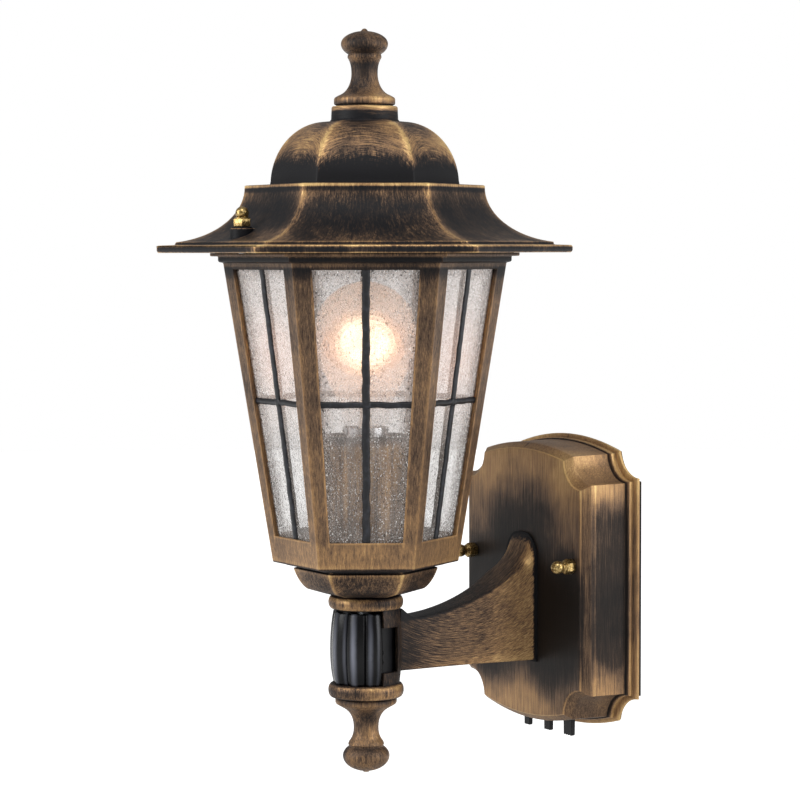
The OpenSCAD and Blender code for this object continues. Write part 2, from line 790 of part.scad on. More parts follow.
module switch_bodies() {
    half_w = 10;
    low = -78;
    high = -66;
    color(black) difference() {
        for (i = [0:2]) translate([knob_x(i) - half_w, pcb_front - 9, low]) cube([2 * half_w, 9, high - low]);
        knob_slots(low - 1, -72.5);
    }
}

// Slide knobs: a tab below the backplate and a foot inside the switch
module knob(index, tip) {
    foot_z = -73;
    color(black) translate([knob_x(index) - knob_half[index], knob_y - knob_t / 2, tip])
        cube([2 * knob_half[index], knob_t, foot_z - tip]);
}
module on_time_knob() { knob(0, knob_tip); }
module range_knob() { knob(1, knob_tip); }
module mode_knob() { knob(2, knob_tip); }

top_finial();
finial_seal();
finial_stud();
finial_nut();
roof();
roof_nut_front();
roof_nut_rear();
roof_nut_seals();
roof_studs();
cage();
glass_pane_1();
glass_pane_2();
glass_pane_3();
glass_pane_4();
glass_pane_5();
glass_pane_6();
lead_came_1();
lead_came_2();
lead_came_3();
lead_came_4();
lead_came_5();
lead_came_6();
pane_clips();
base_cup();
socket_sleeve();
lampholder();
screw_shell();
centre_contact();
bulb_glass();
bulb_base();
bulb_stem();
bulb_filament();
threaded_tube();
tube_nut();
neck_ring();
arm();
arm_gasket();
arm_screws();
sensor_lens();
sensor_core();
sensor_board();
pyro_sensor();
photocell();
lower_ring();
bottom_finial();
backplate();
wall_gasket();
mounting_plate();
mounting_studs();
stud_nuts();
plate_cap_nuts();
ground_screw();
control_board();
board_pillars();
relay();
capacitor();
switch_bodies();
on_time_knob();
range_knob();
mode_knob();
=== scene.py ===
import bmesh
import bpy
import json
from math import asin, atan2, cos, pi, radians, sin
from mathutils import Matrix, Vector, noise


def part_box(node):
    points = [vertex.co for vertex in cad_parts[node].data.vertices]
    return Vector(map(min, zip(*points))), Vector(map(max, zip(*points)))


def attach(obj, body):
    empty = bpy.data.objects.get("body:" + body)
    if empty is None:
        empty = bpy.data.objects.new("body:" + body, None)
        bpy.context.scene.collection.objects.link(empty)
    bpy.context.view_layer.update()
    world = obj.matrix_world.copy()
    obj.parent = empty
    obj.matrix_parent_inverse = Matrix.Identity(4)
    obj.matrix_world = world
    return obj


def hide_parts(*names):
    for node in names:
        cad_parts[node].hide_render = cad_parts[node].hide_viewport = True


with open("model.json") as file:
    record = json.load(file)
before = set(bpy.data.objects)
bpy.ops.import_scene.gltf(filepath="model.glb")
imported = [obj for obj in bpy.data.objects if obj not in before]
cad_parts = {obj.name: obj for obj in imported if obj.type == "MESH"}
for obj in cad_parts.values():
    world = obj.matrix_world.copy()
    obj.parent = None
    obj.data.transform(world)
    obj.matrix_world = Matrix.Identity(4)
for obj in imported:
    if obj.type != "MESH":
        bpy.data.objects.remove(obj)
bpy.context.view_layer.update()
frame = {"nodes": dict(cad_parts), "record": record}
nodes = frame["nodes"]
mm = 0.001

# places that the pieces share, worked out from the frame
cageLow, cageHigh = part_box("cage")
reach = -(cageLow.y + cageHigh.y) / 2             # wall to the lantern's axis
flat = cos(radians(30))                           # a hexagon's flats over its corners
lightHeight = 147 * mm                            # the middle of the lamp's light
print("frame loaded, axis", round(reach, 4), "m from the wall")


cameraSet = {
    "azimuth": 59.6,            # degrees round from the lantern's front
    "distance": 1.574,          # from the lantern's axis
    "height": 0.1994,
    "turn": 0.733,              # aims this much to the right of the axis
    "pitch": 3.157,
    "roll": 0.1,
    "lens": 122.1,
}


def makeCamera(s):
    a = radians(s["azimuth"])
    right = Vector((cos(a), sin(a), 0))
    ahead = Vector((-sin(a), cos(a), 0))
    place = Vector((0, -reach, s["height"])) - ahead * s["distance"]
    turn = radians(s["turn"])
    look = ahead * cos(turn) + right * sin(turn)
    side = right * cos(turn) - ahead * sin(turn)
    pitch = radians(s["pitch"])
    up = Vector((0, 0, 1)) * cos(pitch) + look * sin(pitch)
    look = look * cos(pitch) - Vector((0, 0, 1)) * sin(pitch)
    roll = radians(s["roll"])
    side, up = side * cos(roll) - up * sin(roll), up * cos(roll) + side * sin(roll)
    data = bpy.data.cameras.new("camera")
    data.lens = s["lens"]
    data.sensor_width = 36
    data.clip_end = 30
    camera = bpy.data.objects.new("camera", data)
    facing = Matrix((side, up, -look)).transposed().to_4x4()
    camera.matrix_world = Matrix.Translation(place) @ facing
    bpy.context.collection.objects.link(camera)
    bpy.context.scene.camera = camera


makeCamera(cameraSet)


class Signal:
    # a socket with arithmetic: every operation adds a Math node
    def __init__(self, paint, socket):
        self.paint = paint
        self.socket = socket

    def math(self, operation, *others):
        node = self.paint.tree.nodes.new("ShaderNodeMath")
        node.operation = operation
        for slot, value in zip(node.inputs, (self,) + others):
            self.paint.feed(slot, value)
        return Signal(self.paint, node.outputs[0])

    def __add__(self, other): return self.math("ADD", other)
    __radd__ = __add__
    def __sub__(self, other): return self.math("SUBTRACT", other)
    def __rsub__(self, other): return (self * -1).math("ADD", other)
    def __mul__(self, other): return self.math("MULTIPLY", other)
    __rmul__ = __mul__
    def __truediv__(self, other): return self.math("DIVIDE", other)
    def __pow__(self, other): return self.math("POWER", other)
    def __abs__(self): return self.math("ABSOLUTE")
    def least(self, other): return self.math("MINIMUM", other)
    def most(self, other): return self.math("MAXIMUM", other)

    def step(self, low, high):
        # smooth rise from 0 at low to 1 at high
        t = self.paint.add("ShaderNodeMapRange", {"interpolation_type": "SMOOTHSTEP", "clamp": True},
                           {"Value": self, "From Min": low, "From Max": high})
        return t["Result"]

    def band(self, middle, width):
        # 1 at middle, falling to 0 at width to either side
        return 1 - abs(self - middle).step(0.0, width)


class Outputs:
    # a node whose outputs are read by name
    def __init__(self, paint, node):
        self.paint = paint
        self.node = node

    def __getitem__(self, name):
        return Signal(self.paint, self.node.outputs[name])


class Paint:
    # one material and its node tree
    def __init__(self, name):
        self.material = bpy.data.materials.new(name)
        self.material.use_nodes = True
        self.tree = self.material.node_tree
        self.tree.nodes.clear()
        self.place = self.add("ShaderNodeTexCoord")["Object"]

    def feed(self, slot, value):
        if isinstance(value, Signal):
            self.tree.links.new(value.socket, slot)
        elif value is not None:
            slot.default_value = value

    def add(self, kind, settings=None, sockets=None):
        node = self.tree.nodes.new(kind)
        for key, value in (settings or {}).items():
            if key == "stops":
                ramp = node.color_ramp
                while len(ramp.elements) < len(value):
                    ramp.elements.new(0.5)
                for element, (at, colour) in zip(ramp.elements, value):
                    element.position = at
                    element.color = colour
            else:
                setattr(node, key, value)
        for key, value in (sockets or {}).items():
            self.feed(node.inputs[key], value)
        return Outputs(self, node)

    def mapped(self, scale=(1, 1, 1), move=(0, 0, 0)):
        return self.add("ShaderNodeMapping", {}, {"Vector": self.place, "Scale": scale,
                        "Location": move})["Vector"]

    def noise(self, vector, scale, detail=4.0, rough=0.55, lump=0.0):
        return self.add("ShaderNodeTexNoise", {}, {"Vector": vector, "Scale": scale, "Detail": detail,
                        "Roughness": rough, "Distortion": lump})["Fac"]

    def xyz(self):
        split = self.add("ShaderNodeSeparateXYZ", {}, {"Vector": self.place})
        return split["X"], split["Y"], split["Z"]

    def join(self, x, y, z):
        return self.add("ShaderNodeCombineXYZ", {}, {"X": x, "Y": y, "Z": z})["Vector"]

    def mix(self, amount, first, second):
        node = self.tree.nodes.new("ShaderNodeMix")
        node.data_type = "RGBA"
        for slot, value in ((node.inputs[0], amount), (node.inputs[6], first), (node.inputs[7], second)):
            self.feed(slot, value)
        return Signal(self, node.outputs[2])

    def ramp(self, amount, stops):
        return self.add("ShaderNodeValToRGB", {"stops": stops}, {"Fac": amount})["Color"]

    def bump(self, height, strength, distance, normal=None):
        return self.add("ShaderNodeBump", {}, {"Height": height, "Strength": strength,
                        "Distance": distance, "Normal": normal})["Normal"]

    def finish(self, sockets):
        shader = self.add("ShaderNodeBsdfPrincipled", {}, sockets)
        self.add("ShaderNodeOutputMaterial", {}, {"Surface": shader["BSDF"]})
        return self.material


def rgb(code):
    # linear colour from a hexadecimal screen colour
    parts = [int(code[i:i + 2], 16) / 255 for i in (0, 2, 4)]
    return tuple(p / 12.92 if p < 0.04045 else ((p + 0.055) / 1.055) ** 2.4 for p in parts) + (1,)


print("shader tools ready")


# shapes
def bezier(a, b, c, d, count=10):
    points = []
    for i in range(count + 1):
        t = i / count
        k = ((1 - t) ** 3, 3 * t * (1 - t) ** 2, 3 * t * t * (1 - t), t ** 3)
        points.append(tuple(sum(w * p[j] for w, p in zip(k, (a, b, c, d))) for j in (0, 1)))
    return points


def arc(r, z, across, upright, start, end, count=12):
    turns = [radians(start + (end - start) * i / count) for i in range(count + 1)]
    return [(r + across * cos(t), z + upright * sin(t)) for t in turns]


def turned(points, steps=96, closed=False, centre=(0, -reach), start=0.0, sweep=360.0):
    # a profile of (radius, height) in millimetres, spun round an upright axis
    bm = bmesh.new()
    verts = [bm.verts.new((r * mm, 0, z * mm)) for r, z in points]
    edges = [bm.edges.new(pair) for pair in zip(verts, verts[1:])]
    if closed:
        edges.append(bm.edges.new((verts[-1], verts[0])))
    bmesh.ops.rotate(bm, verts=verts, cent=(0, 0, 0), matrix=Matrix.Rotation(radians(start), 3, "Z"))
    bmesh.ops.spin(bm, geom=verts + edges, cent=(0, 0, 0), axis=(0, 0, 1), angle=radians(sweep),
                   steps=steps, use_merge=sweep == 360.0)
    bmesh.ops.remove_doubles(bm, verts=bm.verts, dist=1e-6)
    bmesh.ops.translate(bm, verts=bm.verts, vec=(centre[0], centre[1], 0))
    return bm


def softenCorners(bm, width):
    # bevels the upright corner lines of a six-sided casting
    corners = []
    for edge in bm.edges:
        a, b = (v.co + Vector((0, reach, 0)) for v in edge.verts)
        if a.xy.length > 0.012 and b.xy.length > 0.012 and abs(a.x * b.y - a.y * b.x) < 1e-9:
            corners.append(edge)
    bmesh.ops.bevel(bm, geom=corners, offset=width * mm, offset_type="OFFSET", segments=3,
                    profile=0.5, affect="EDGES", material=-1, clamp_overlap=True)


def join(bm, other):
    # adds another bmesh's shape to this one
    spare = bpy.data.meshes.new("spare")
    other.to_mesh(spare)
    other.free()
    bm.from_mesh(spare)
    bpy.data.meshes.remove(spare)


def outwards(bm, centre=None):
    bmesh.ops.remove_doubles(bm, verts=bm.verts, dist=2e-6)
    bmesh.ops.recalc_face_normals(bm, faces=bm.faces)
    if centre is not None:
        facing = sum(f.normal.dot(f.calc_center_median() - centre) * f.calc_area() for f in bm.faces)
        if facing < 0:
            bmesh.ops.reverse_faces(bm, faces=bm.faces)
    return bm


def makePiece(bm, name, sharp=32.0):
    mesh = bpy.data.meshes.new(name)
    bm.to_mesh(mesh)
    bm.free()
    mesh.shade_smooth()
    mesh.set_sharp_from_angle(angle=radians(sharp))
    piece = bpy.data.objects.new(name, mesh)
    bpy.context.collection.objects.link(piece)
    return piece


def fitPiece(piece, body, material, slotName, *stands):
    piece.data.materials.clear()
    piece.data.materials.append(material)
    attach(piece, body)
    if stands:
        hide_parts(*stands)


def roundEdges(piece, width):
    bevel = piece.modifiers.new("edges", "BEVEL")
    bevel.width = width * mm
    bevel.segments = 2
    bevel.limit_method = "ANGLE"
    bevel.angle_limit = radians(32)


def thicken(piece, wall):
    solid = piece.modifiers.new("wall", "SOLIDIFY")
    solid.thickness = wall * mm
    solid.offset = -1
    solid.use_even_offset = True


def cutAway(piece, cutter):
    # takes the cutter's shape out of the piece and removes the cutter
    tool = makePiece(cutter, "cutter")
    cut = piece.modifiers.new("cut", "BOOLEAN")
    cut.operation = "DIFFERENCE"
    cut.solver = "EXACT"
    cut.object = tool
    bpy.context.view_layer.update()
    shaped = bpy.data.meshes.new_from_object(piece.evaluated_get(bpy.context.evaluated_depsgraph_get()))
    old = piece.data
    piece.modifiers.clear()
    piece.data = shaped
    bpy.data.meshes.remove(old)
    bpy.data.objects.remove(tool)


def placed(middle, size=(1, 1, 1)):
    # the matrix that puts a shape at a place, stretched to a size, both in metres
    return Matrix.Translation(middle) @ Matrix.Diagonal(tuple(size) + (1,))


def middleOf(node):
    low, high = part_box(node)
    return (low + high) / 2


def block(low, high):
    bm = bmesh.new()
    size = [(b - a) * mm for a, b in zip(low, high)]
    middle = [(a + b) / 2 * mm for a, b in zip(low, high)]
    bmesh.ops.create_cube(bm, size=1.0, matrix=placed(middle, size))
    return bm


def rod(radius, length, segments, matrix):
    bm = bmesh.new()
    bmesh.ops.create_cone(bm, cap_ends=True, segments=segments, radius1=radius, radius2=radius, depth=length,
                          matrix=matrix)
    return bm


def cutAcross(bm, axis, cuts, least):
    # subdivides the edges that run along an axis for more than the least length
    chosen = [e for e in bm.edges if abs(e.verts[0].co[axis] - e.verts[1].co[axis]) > least]
    bmesh.ops.subdivide_edges(bm, edges=chosen, cuts=cuts, use_grid_fill=True)


# finishes
bronzeColours = {
    "black": rgb("121215"),
    "umber": rgb("322822"),
    "brown": rgb("65503f"),
    "gold": rgb("a07d57"),
    "bright": rgb("dcb97e"),
}
bronzeSet = {
    "colours": {},              # any of the five above, where a piece differs
    "grain": "upright",         # strokes run upright, "down" the roof or "out" along the arm
    "draw": 0.075,              # stroke width over its length
    "fine": 2300.0, "fineGain": 0.85,
    "broad": 900.0, "broadGain": 0.75,
    "patch": 32.0, "patchGain": 0.9,
    "seed": 0.0,
    "grime": 0.35,
    "corner": 0.0, "cornerWidth": 3.0,      # gold on the corner lines, and its width
    "cornerSoft": 0.12, "cornerSpread": 12.0,
    "cornerTop": 400, "ragged": 0.006,
    "masks": (),
}


def cornerGap(x, out):
    # distance along a face from the nearest corner of the hexagon
    a = abs(out)
    b = abs(x * flat + out * 0.5)
    c = abs(x * flat - out * 0.5)
    most = a.most(b).most(c)
    least = a.least(b).least(c)
    return (most * 2 + least - a - b - c) / sin(radians(60))


def faceMiddle(x, out):
    # distance along a face from its middle
    most = abs(out).most(abs(x * flat + out * 0.5)).most(abs(x * flat - out * 0.5))
    return most / flat / 2 - cornerGap(x, out)


def bronze(name, s):
    # black base coat with gold bronze dry-brushed over it
    # coverage gives how much gold shows at each height in millimetres
    s = dict(bronzeSet, **s)
    p = Paint(name)
    x, y, z = p.xyz()
    out = y + reach
    if s["grain"] == "down":              # strokes run down the slope, and in arches over the dome
        r = (x * x + out * out).math("SQRT").most(0.001)
        size = s["size"] * mm
        slope = p.join(x / r * size, out / r * size, (z - r * 0.8) * s["draw"])
        h = z - s["archFoot"] * mm
        rho = (faceMiddle(x, out) ** 2 * 0.5 + h * h).math("SQRT")
        around = p.join(x * 0.07, rho, out * 0.07 + h * 0.05)
        dome = z.step((s["archFoot"] - 0.3) * mm, (s["archFoot"] + 0.1) * mm)
        strokes = p.mix(dome, slope, around)
    elif s["grain"] == "out":             # strokes sweep along the arm round a point above it
        dy, dz = y - s["pivot"][0] * mm, z - s["pivot"][1] * mm
        rho = (dy * dy + dz * dz).math("SQRT")
        strokes = p.join(x, rho, dy / rho * s["sweep"])
    else:
        strokes = p.mapped(scale=(1, 1, s["draw"]))
    fine = p.noise(strokes, s["fine"], 5.0, 0.65, 0.15)
    broad = p.noise(strokes, s["broad"], 4.0, 0.6, 0.3)
    patch = p.noise(p.mapped(move=(s["seed"], 0, 0)), s["patch"], 3.0, 0.55, 0.4)
    speck = p.noise(p.place, 2600.0, 3.0, 0.6)
    low, high = s["coverage"][0][0], s["coverage"][-1][0]
    stops = [((h - low) / (high - low), (c, c, c, 1)) for h, c in s["coverage"]]
    level = p.add("ShaderNodeMapRange", {}, {"Value": z, "From Min": low * mm, "From Max": high * mm})
    amount = p.ramp(level["Result"], stops)
    amount = amount + (fine - 0.5) * s["fineGain"] + (broad - 0.5) * s["broadGain"]
    amount = amount + (patch - 0.5) * s["patchGain"] + (speck - 0.5) * 0.35
    if s["corner"]:                  # gold left on the corner lines, ragged at its edge
        gap = cornerGap(x, out) + (broad - 0.5) * s["ragged"]
        line = (1 - gap.step(0.0, s["cornerWidth"] * mm)) * s["corner"]
        line = line + (1 - gap.step(0.0, s["cornerSpread"] * mm)) * s["cornerSoft"]
        if "bare" in s:              # heights between which the corners stay dark
            foot, low, high = (v * mm for v in s["bare"])
            line = line * (1 - z.step(foot, foot + 0.0004) * (1 - z.step(low, high)))
        top = s["cornerTop"] * mm
        amount = amount + line * (1 - z.step(top, top + 0.001))
    for extra in s["masks"]:
        amount = amount + extra(p, x, y, z)
    c = dict(bronzeColours, **s["colours"])
    tone = p.ramp(amount, ((0.16, c["black"]), (0.36, c["umber"]), (0.52, c["brown"]), (0.72, c["gold"]),
                           (1.0, c["bright"])))
    grime = p.noise(p.mapped(move=(0.3, s["seed"], 0)), 90.0, 4.0, 0.65)
    tone = p.mix(grime.step(0.52, 0.75) * s["grime"], tone, c["black"])
    cover = amount.step(0.2, 0.75)
    height = fine * 0.5 + broad * 0.5 + cover * 0.35
    normal = p.bump(height, 0.32, 0.00035)
    normal = p.bump(p.noise(p.place, 900.0, 3.0, 0.6), 0.12, 0.0003, normal)
    return p.finish({"Base Color": tone, "Metallic": cover * 0.4 + 0.05,
                     "Roughness": 0.52 - cover * 0.12 + (speck - 0.5) * 0.2,
                     "Specular IOR Level": 0.16, "Normal": normal})


def plain(name, colour, rough, metal=0.0, mottle=0.25, scale=160.0, relief=0.12, shine=0.5, coat=0.0):
    # a simple finish with fine variation; mottle is how far it darkens, scale how fine the clouds are
    p = Paint(name)
    cloud = p.noise(p.place, scale, 5.0, 0.6)
    grain = p.noise(p.place, 2200.0, 3.0, 0.6)
    base = rgb(colour)
    dark = tuple(v * (1 - mottle) for v in base[:3]) + (1,)
    tone = p.mix((cloud * 0.7 + grain * 0.3).step(0.35, 0.65), dark, base)
    sockets = {"Base Color": tone, "Metallic": metal, "Specular IOR Level": shine,
               "Roughness": (grain - 0.5) * 0.25 + rough + (cloud - 0.5) * 0.15,
               "Normal": p.bump(grain, relief, 0.0002)}
    if coat:
        sockets.update({"Coat Weight": coat, "Coat Roughness": 0.08})
    return p.finish(sockets)


seedSet = {
    "haze": ("b3aba5", "e8ded8"),       # low down and high up, as the veil
    "speck": "3b3431",
    "glow": "ff9a5a",
    "veil": (0.17, 0.24),
    "paneGap": 60.0,            # from the lamp to the nearest point of a pane
}


def seededGlass(s):
    # lightly frosted drawn glass with small seeds, lit up where it is nearest the lamp
    p = Paint("seededGlass")
    x, y, z = p.xyz()
    out = y + reach
    drawn = p.mapped(scale=(1, 1, 0.55))
    grit = p.noise(drawn, 1150.0, 2.5, 0.6)
    bubbles = p.noise(p.mapped(scale=(1, 1, 0.7), move=(0.4, 0.1, 0)), 1400.0, 2.0, 0.5)
    crowd = p.noise(p.place, 55.0, 2.0, 0.5)
    foot, head, narrow, wide = cageSet["window"]
    border = (faceMiddle(x, out) - (z - foot * mm) * ((wide - narrow) / (head - foot))).step(0.0130, 0.0205)
    border = border.most(z.step((head - 8.4) * mm, head * mm)).most(1 - z.step(foot * mm, (foot + 9.6) * mm))
    seeds = (grit + (crowd - 0.5) * 0.10 + border * 0.05).step(0.580, 0.660)
    dots = (bubbles + border * 0.02).step(0.635, 0.70)
    waves = p.noise(p.mapped(scale=(1, 1, 0.5)), 120.0, 3.0, 0.55, 0.5)
    rise = z - lightHeight
    away = x * x + out * out + rise * rise - (s["paneGap"] * mm) ** 2
    spread = away.most(0.0).math("SQRT")
    wobble = (p.noise(p.place, 90.0, 3.0, 0.6) - 0.5) * 0.012
    halo = 1 - (spread + wobble).step(0.004, 0.036)
    upper = z.step(0.080, 0.112)
    haze = p.mix(upper, rgb(s["haze"][0]), rgb(s["haze"][1]))
    tone = p.mix(dots, p.mix(seeds, haze, rgb(s["speck"])), rgb("ffffff"))
    shine = p.mix(halo * (1 - seeds * 0.6), (0, 0, 0, 1), rgb(s["glow"]))
    veil = upper * (s["veil"][1] - s["veil"][0]) + s["veil"][0]
    height = waves + grit * 0.6 - dots * 0.4
    return p.finish({"Base Color": tone, "Roughness": 0.2 + (waves - 0.5) * 0.2,
                     "Alpha": veil + (waves - 0.5) * 0.36 + seeds * 0.42 + dots * 0.5 + border * 0.12,
                     "Emission Color": shine, "Emission Strength": 0.16, "Specular IOR Level": 0.3,
                     "Normal": p.bump(height, 0.5, 0.0006)})


print("finishes ready")


# roof: finial, six-sided casting, cap nuts
finialSet = {
    "ball": 13.6, "ballHeight": 318.3, "neck": 7.6,
    "paint": {"coverage": ((283, 0.3), (286, 0.62), (288, 0.55), (293, 0.40), (300, 0.37), (306, 0.37),
                           (309, 0.6), (312, 0.5), (315, 0.42), (320, 0.42), (324, 0.55), (327, 0.62)),
              "patchGain": 1.2, "fineGain": 0.7, "broadGain": 0.5, "seed": 0.11},
}


def topFinial(s):
    n = s["neck"]
    points = [(0, 283.2), (17.2, 283.2), (17.7, 283.8), (17.7, 286.4), (17.3, 287.4)]
    points += bezier((14.8, 288.8), (10.4, 290.2), (n, 295.5), (n, 301.2), 12)
    points += bezier((n, 301.6), (n, 305.4), (8.3, 308), (9.8, 310.4), 8)
    points += [(9.8, 311.6), (9.3, 312.2)]
    points += arc(0, s["ballHeight"], s["ball"], 8.3, -43, 0, 10)
    points += arc(0, s["ballHeight"], s["ball"], 7.4, 6, 80, 14)
    points += [(1.6, 326.2), (1.2, 326.9), (0, 327.2)]
    piece = makePiece(outwards(turned(points)), "topFinial")
    roundEdges(piece, 0.4)
    fitPiece(piece, "roof_cap", bronze("bronzeTopFinial", s["paint"]), "bronze", "top_finial")


roofSet = {
    "wall": 2.6,
    "cornerRound": 1.1,
    "paint": {"coverage": ((197.9, 0.80), (198.5, 0.60), (198.9, 0.10), (201.0, 0.16), (201.9, 0.72),
                           (202.6, 0.80), (202.95, 0.08), (203.7, 0.10), (204.3, 0.66), (204.9, 0.34),
                           (208, 0.30), (214, 0.20), (222, 0.20), (228, 0.31), (232, 0.40), (233.6, 0.18),
                           (234.8, 0.14), (235.6, 0.74), (236.4, 0.84), (237.2, 0.50), (237.6, 0.12),
                           (242, 0.14), (247, 0.34), (262, 0.42), (272, 0.41), (274.0, 0.12), (278.6, 0.12),
                           (280.2, 0.62), (282.4, 0.82)),
              "grain": "down", "size": 70, "archFoot": 237.5, "draw": 0.16, "patchGain": 0.7, "seed": 0.37,
              "corner": 0.28, "cornerWidth": 3.2, "cornerSoft": 0.16, "cornerSpread": 14.0,
              "cornerTop": 273.4, "ragged": 0.018, "bare": (237.2, 241, 254)},
}


def roofCasting(s):
    skirt = [(118 - 48.2 * cos(radians(t)), 236 - 32.2 * sin(radians(t))) for t in range(80, -1, -4)]
    dome = arc(22.7, 237, 32.2, 36.6, 0, 88, 26)
    w = s["wall"]
    outer = [(118.9, 198.3), (119.6, 198.1), (120.4, 198.6), (120.8, 199.6), (120.8, 201.4),
             (120.3, 202.2), (119.6, 202.4), (110.6, 202.7), (110.3, 202.9), (109.9, 203.1)]
    outer += skirt + [(69.9, 236.4), (69.3, 236.9), (68.4, 237.0), (56.2, 237.1), (55.2, 237.5)]
    outer += dome[1:] + [(12, 273.6)]
    inner = [(12, 271)] + [(r - w if r > 30 else r, z - w) for r, z in reversed(dome[2:])]
    inner += [(52.2, 234.4), (67, 234.0)]
    inner += [(r - 1.9, z - 2.2) for r, z in reversed(skirt[:-1])]
    inner += [(108, 200.6), (117.2, 200.2), (117.6, 198.4)]
    bm = turned(outer + inner, steps=6, closed=True)
    softenCorners(bm, s["cornerRound"])
    outwards(bm)
    collar = [(12, 270), (20.1, 270), (20.1, 273.9), (19.9, 274.3), (19.4, 274.7), (19.1, 281.6),
              (18.6, 282.3), (12, 282.3)]
    join(bm, outwards(turned(collar, closed=True)))
    bosses = [middleOf(name) for name in ("roof_nut_front", "roof_nut_rear")]
    for boss in bosses:
        line = [(2.6, 200.7), (6.85, 200.7), (6.85, 211.2), (6.3, 212), (2.6, 212)]
        join(bm, outwards(turned(line, 40, True, boss)))
    piece = makePiece(bm, "roofCasting", 30)
    roundEdges(piece, 0.35)

    def bossTop(p, x, y, z):         # the two bosses stay black with a gold rim
        near = 0
        for boss in bosses:
            dx, dy = x - boss.x, y - boss.y
            near = (1 - (dx * dx + dy * dy).math("SQRT").step(0.0066, 0.0090)) + near
        return near * (z.band(0.2118, 0.0007) * 0.8 - 0.42)

    def arches(p, x, y, z):          # gold sweeps over a black foot on each face of the dome
        h = z - s["paint"]["archFoot"] * mm
        rho = (faceMiddle(x, y + reach) ** 2 * 0.22 + h * h).math("SQRT")
        ragged = p.noise(p.mapped(scale=(1, 1, 0.12)), 900.0, 3.0)
        rho = rho + (p.noise(p.place, 45.0, 2.0) - 0.5) * 0.010 + (ragged - 0.5) * 0.016
        dome = z.step(0.2374, 0.2378) * (1 - z.step(0.2734, 0.2738))
        return (rho.band(0.0240, 0.0105) * 0.20 - (1 - rho.step(0.0085, 0.0190)) * 0.40) * dome
    paint = dict(s["paint"], masks=(bossTop, arches))
    fitPiece(piece, "roof_cap", bronze("bronzeRoof", paint), "bronze", "roof")


# each nut's width across corners, hexagon height, whole height and ball radius
nutSet = {"roof": (10.7, 4.6, 11.4, 3.8), "plate": (9.0, 6.0, 14.6, 3.9)}


def acornNut(corner, hexHigh, height, ball):
    # a cap nut standing on z = 0: hexagon, waist and ball
    bm = rod(corner / 2 * mm, hexHigh * mm, 6, placed((0, 0, hexHigh / 2 * mm)))
    rims = [e for e in bm.edges if abs(e.verts[0].co.z - e.verts[1].co.z) < 1e-6]
    bmesh.ops.bevel(bm, geom=rims, offset=0.5 * mm, segments=2, profile=0.5, affect="EDGES", material=-1)
    neck = corner * 0.39
    top = height - ball
    points = [(0, hexHigh - 0.4), (neck, hexHigh - 0.4), (neck, hexHigh + 0.5), (ball * 0.72, hexHigh + 1.1)]
    low = -38
    points += [(ball * 0.74, top + ball * sin(radians(low)) - 0.3)]
    points += arc(0, top, ball, ball, low, 90, 18)
    join(bm, outwards(turned(points, 40, centre=(0, 0))))
    return bm


def capNuts(s):
    brass = brassFinish("capNutBrass")
    for name, body in (("roof_nut_front", "front_nut"), ("roof_nut_rear", "rear_nut")):
        place = middleOf(name)
        place.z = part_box(name)[0].z
        bm = acornNut(*s["roof"])
        bmesh.ops.translate(bm, verts=bm.verts, vec=place)
        piece = makePiece(bm, "roofCapNut" + name.split("_")[-1].title(), 35)
        fitPiece(piece, body, brass, "brass_nut", name)
    low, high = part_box("plate_cap_nuts")
    half = s["plate"][0] / 2 * mm
    bm = bmesh.new()
    for x in (low.x + half, high.x - half):
        nut = acornNut(*s["plate"])
        bmesh.ops.rotate(nut, verts=nut.verts, cent=(0, 0, 0), matrix=Matrix.Rotation(radians(90), 3, "X"))
        bmesh.ops.translate(nut, verts=nut.verts, vec=(x, high.y, (low.z + high.z) / 2))
        join(bm, nut)
    fitPiece(makePiece(bm, "plateCapNuts", 35), "fixture", brass, "brass_nut", "plate_cap_nuts")


def brassFinish(name):
    p = Paint(name)
    stain = p.noise(p.place, 900.0, 5.0, 0.7)
    fine = p.noise(p.place, 3200.0, 3.0, 0.6)
    tone = p.ramp(stain * 0.7 + fine * 0.3, ((0.38, rgb("3e3320")), (0.47, rgb("8d7445")),
                                             (0.57, rgb("c4a871")), (0.70, rgb("ead7ad"))))
    return p.finish({"Base Color": tone, "Metallic": 0.9, "Roughness": 0.24 + (fine - 0.4) * 0.3,
                     "Normal": p.bump(fine, 0.15, 0.0002)})


topFinial(finialSet)
roofCasting(roofSet)
capNuts(nutSet)
print("roof made")


# cage, cup, rings and lower finial
cageSet = {
    "wall": 3.0,
    "window": (34.4, 188.4, 20.6, 29.8),      # foot, head and half widths of a window
    "face": ((54.2, 19.3), (82.0, 191.6)),    # corner radius and height at a face's foot and head
    "bead": ((1.0, 0.0), (0.5, -0.1), (0.1, -0.5)),           # offset and height round it
    "paint": {"coverage": ((16, 0.1), (17.6, 0.25), (18.6, 0.25), (19.6, 0.72), (22, 0.62), (31, 0.60),
                           (36, 0.51), (110, 0.49), (160, 0.49), (182, 0.44), (189, 0.16), (190.5, 0.46),
                           (192, 0.44), (193.4, 0.12), (195, 0.12), (196, 0.52), (197.4, 0.44), (199, 0.12)),
              "corner": 0.12, "cornerWidth": 1.6, "cornerSpread": 7.0, "cornerSoft": 0.02, "patchGain": 0.35,
              "broadGain": 0.42, "fineGain": 0.6, "grime": 0.2, "seed": 0.73, "draw": 0.05},
}


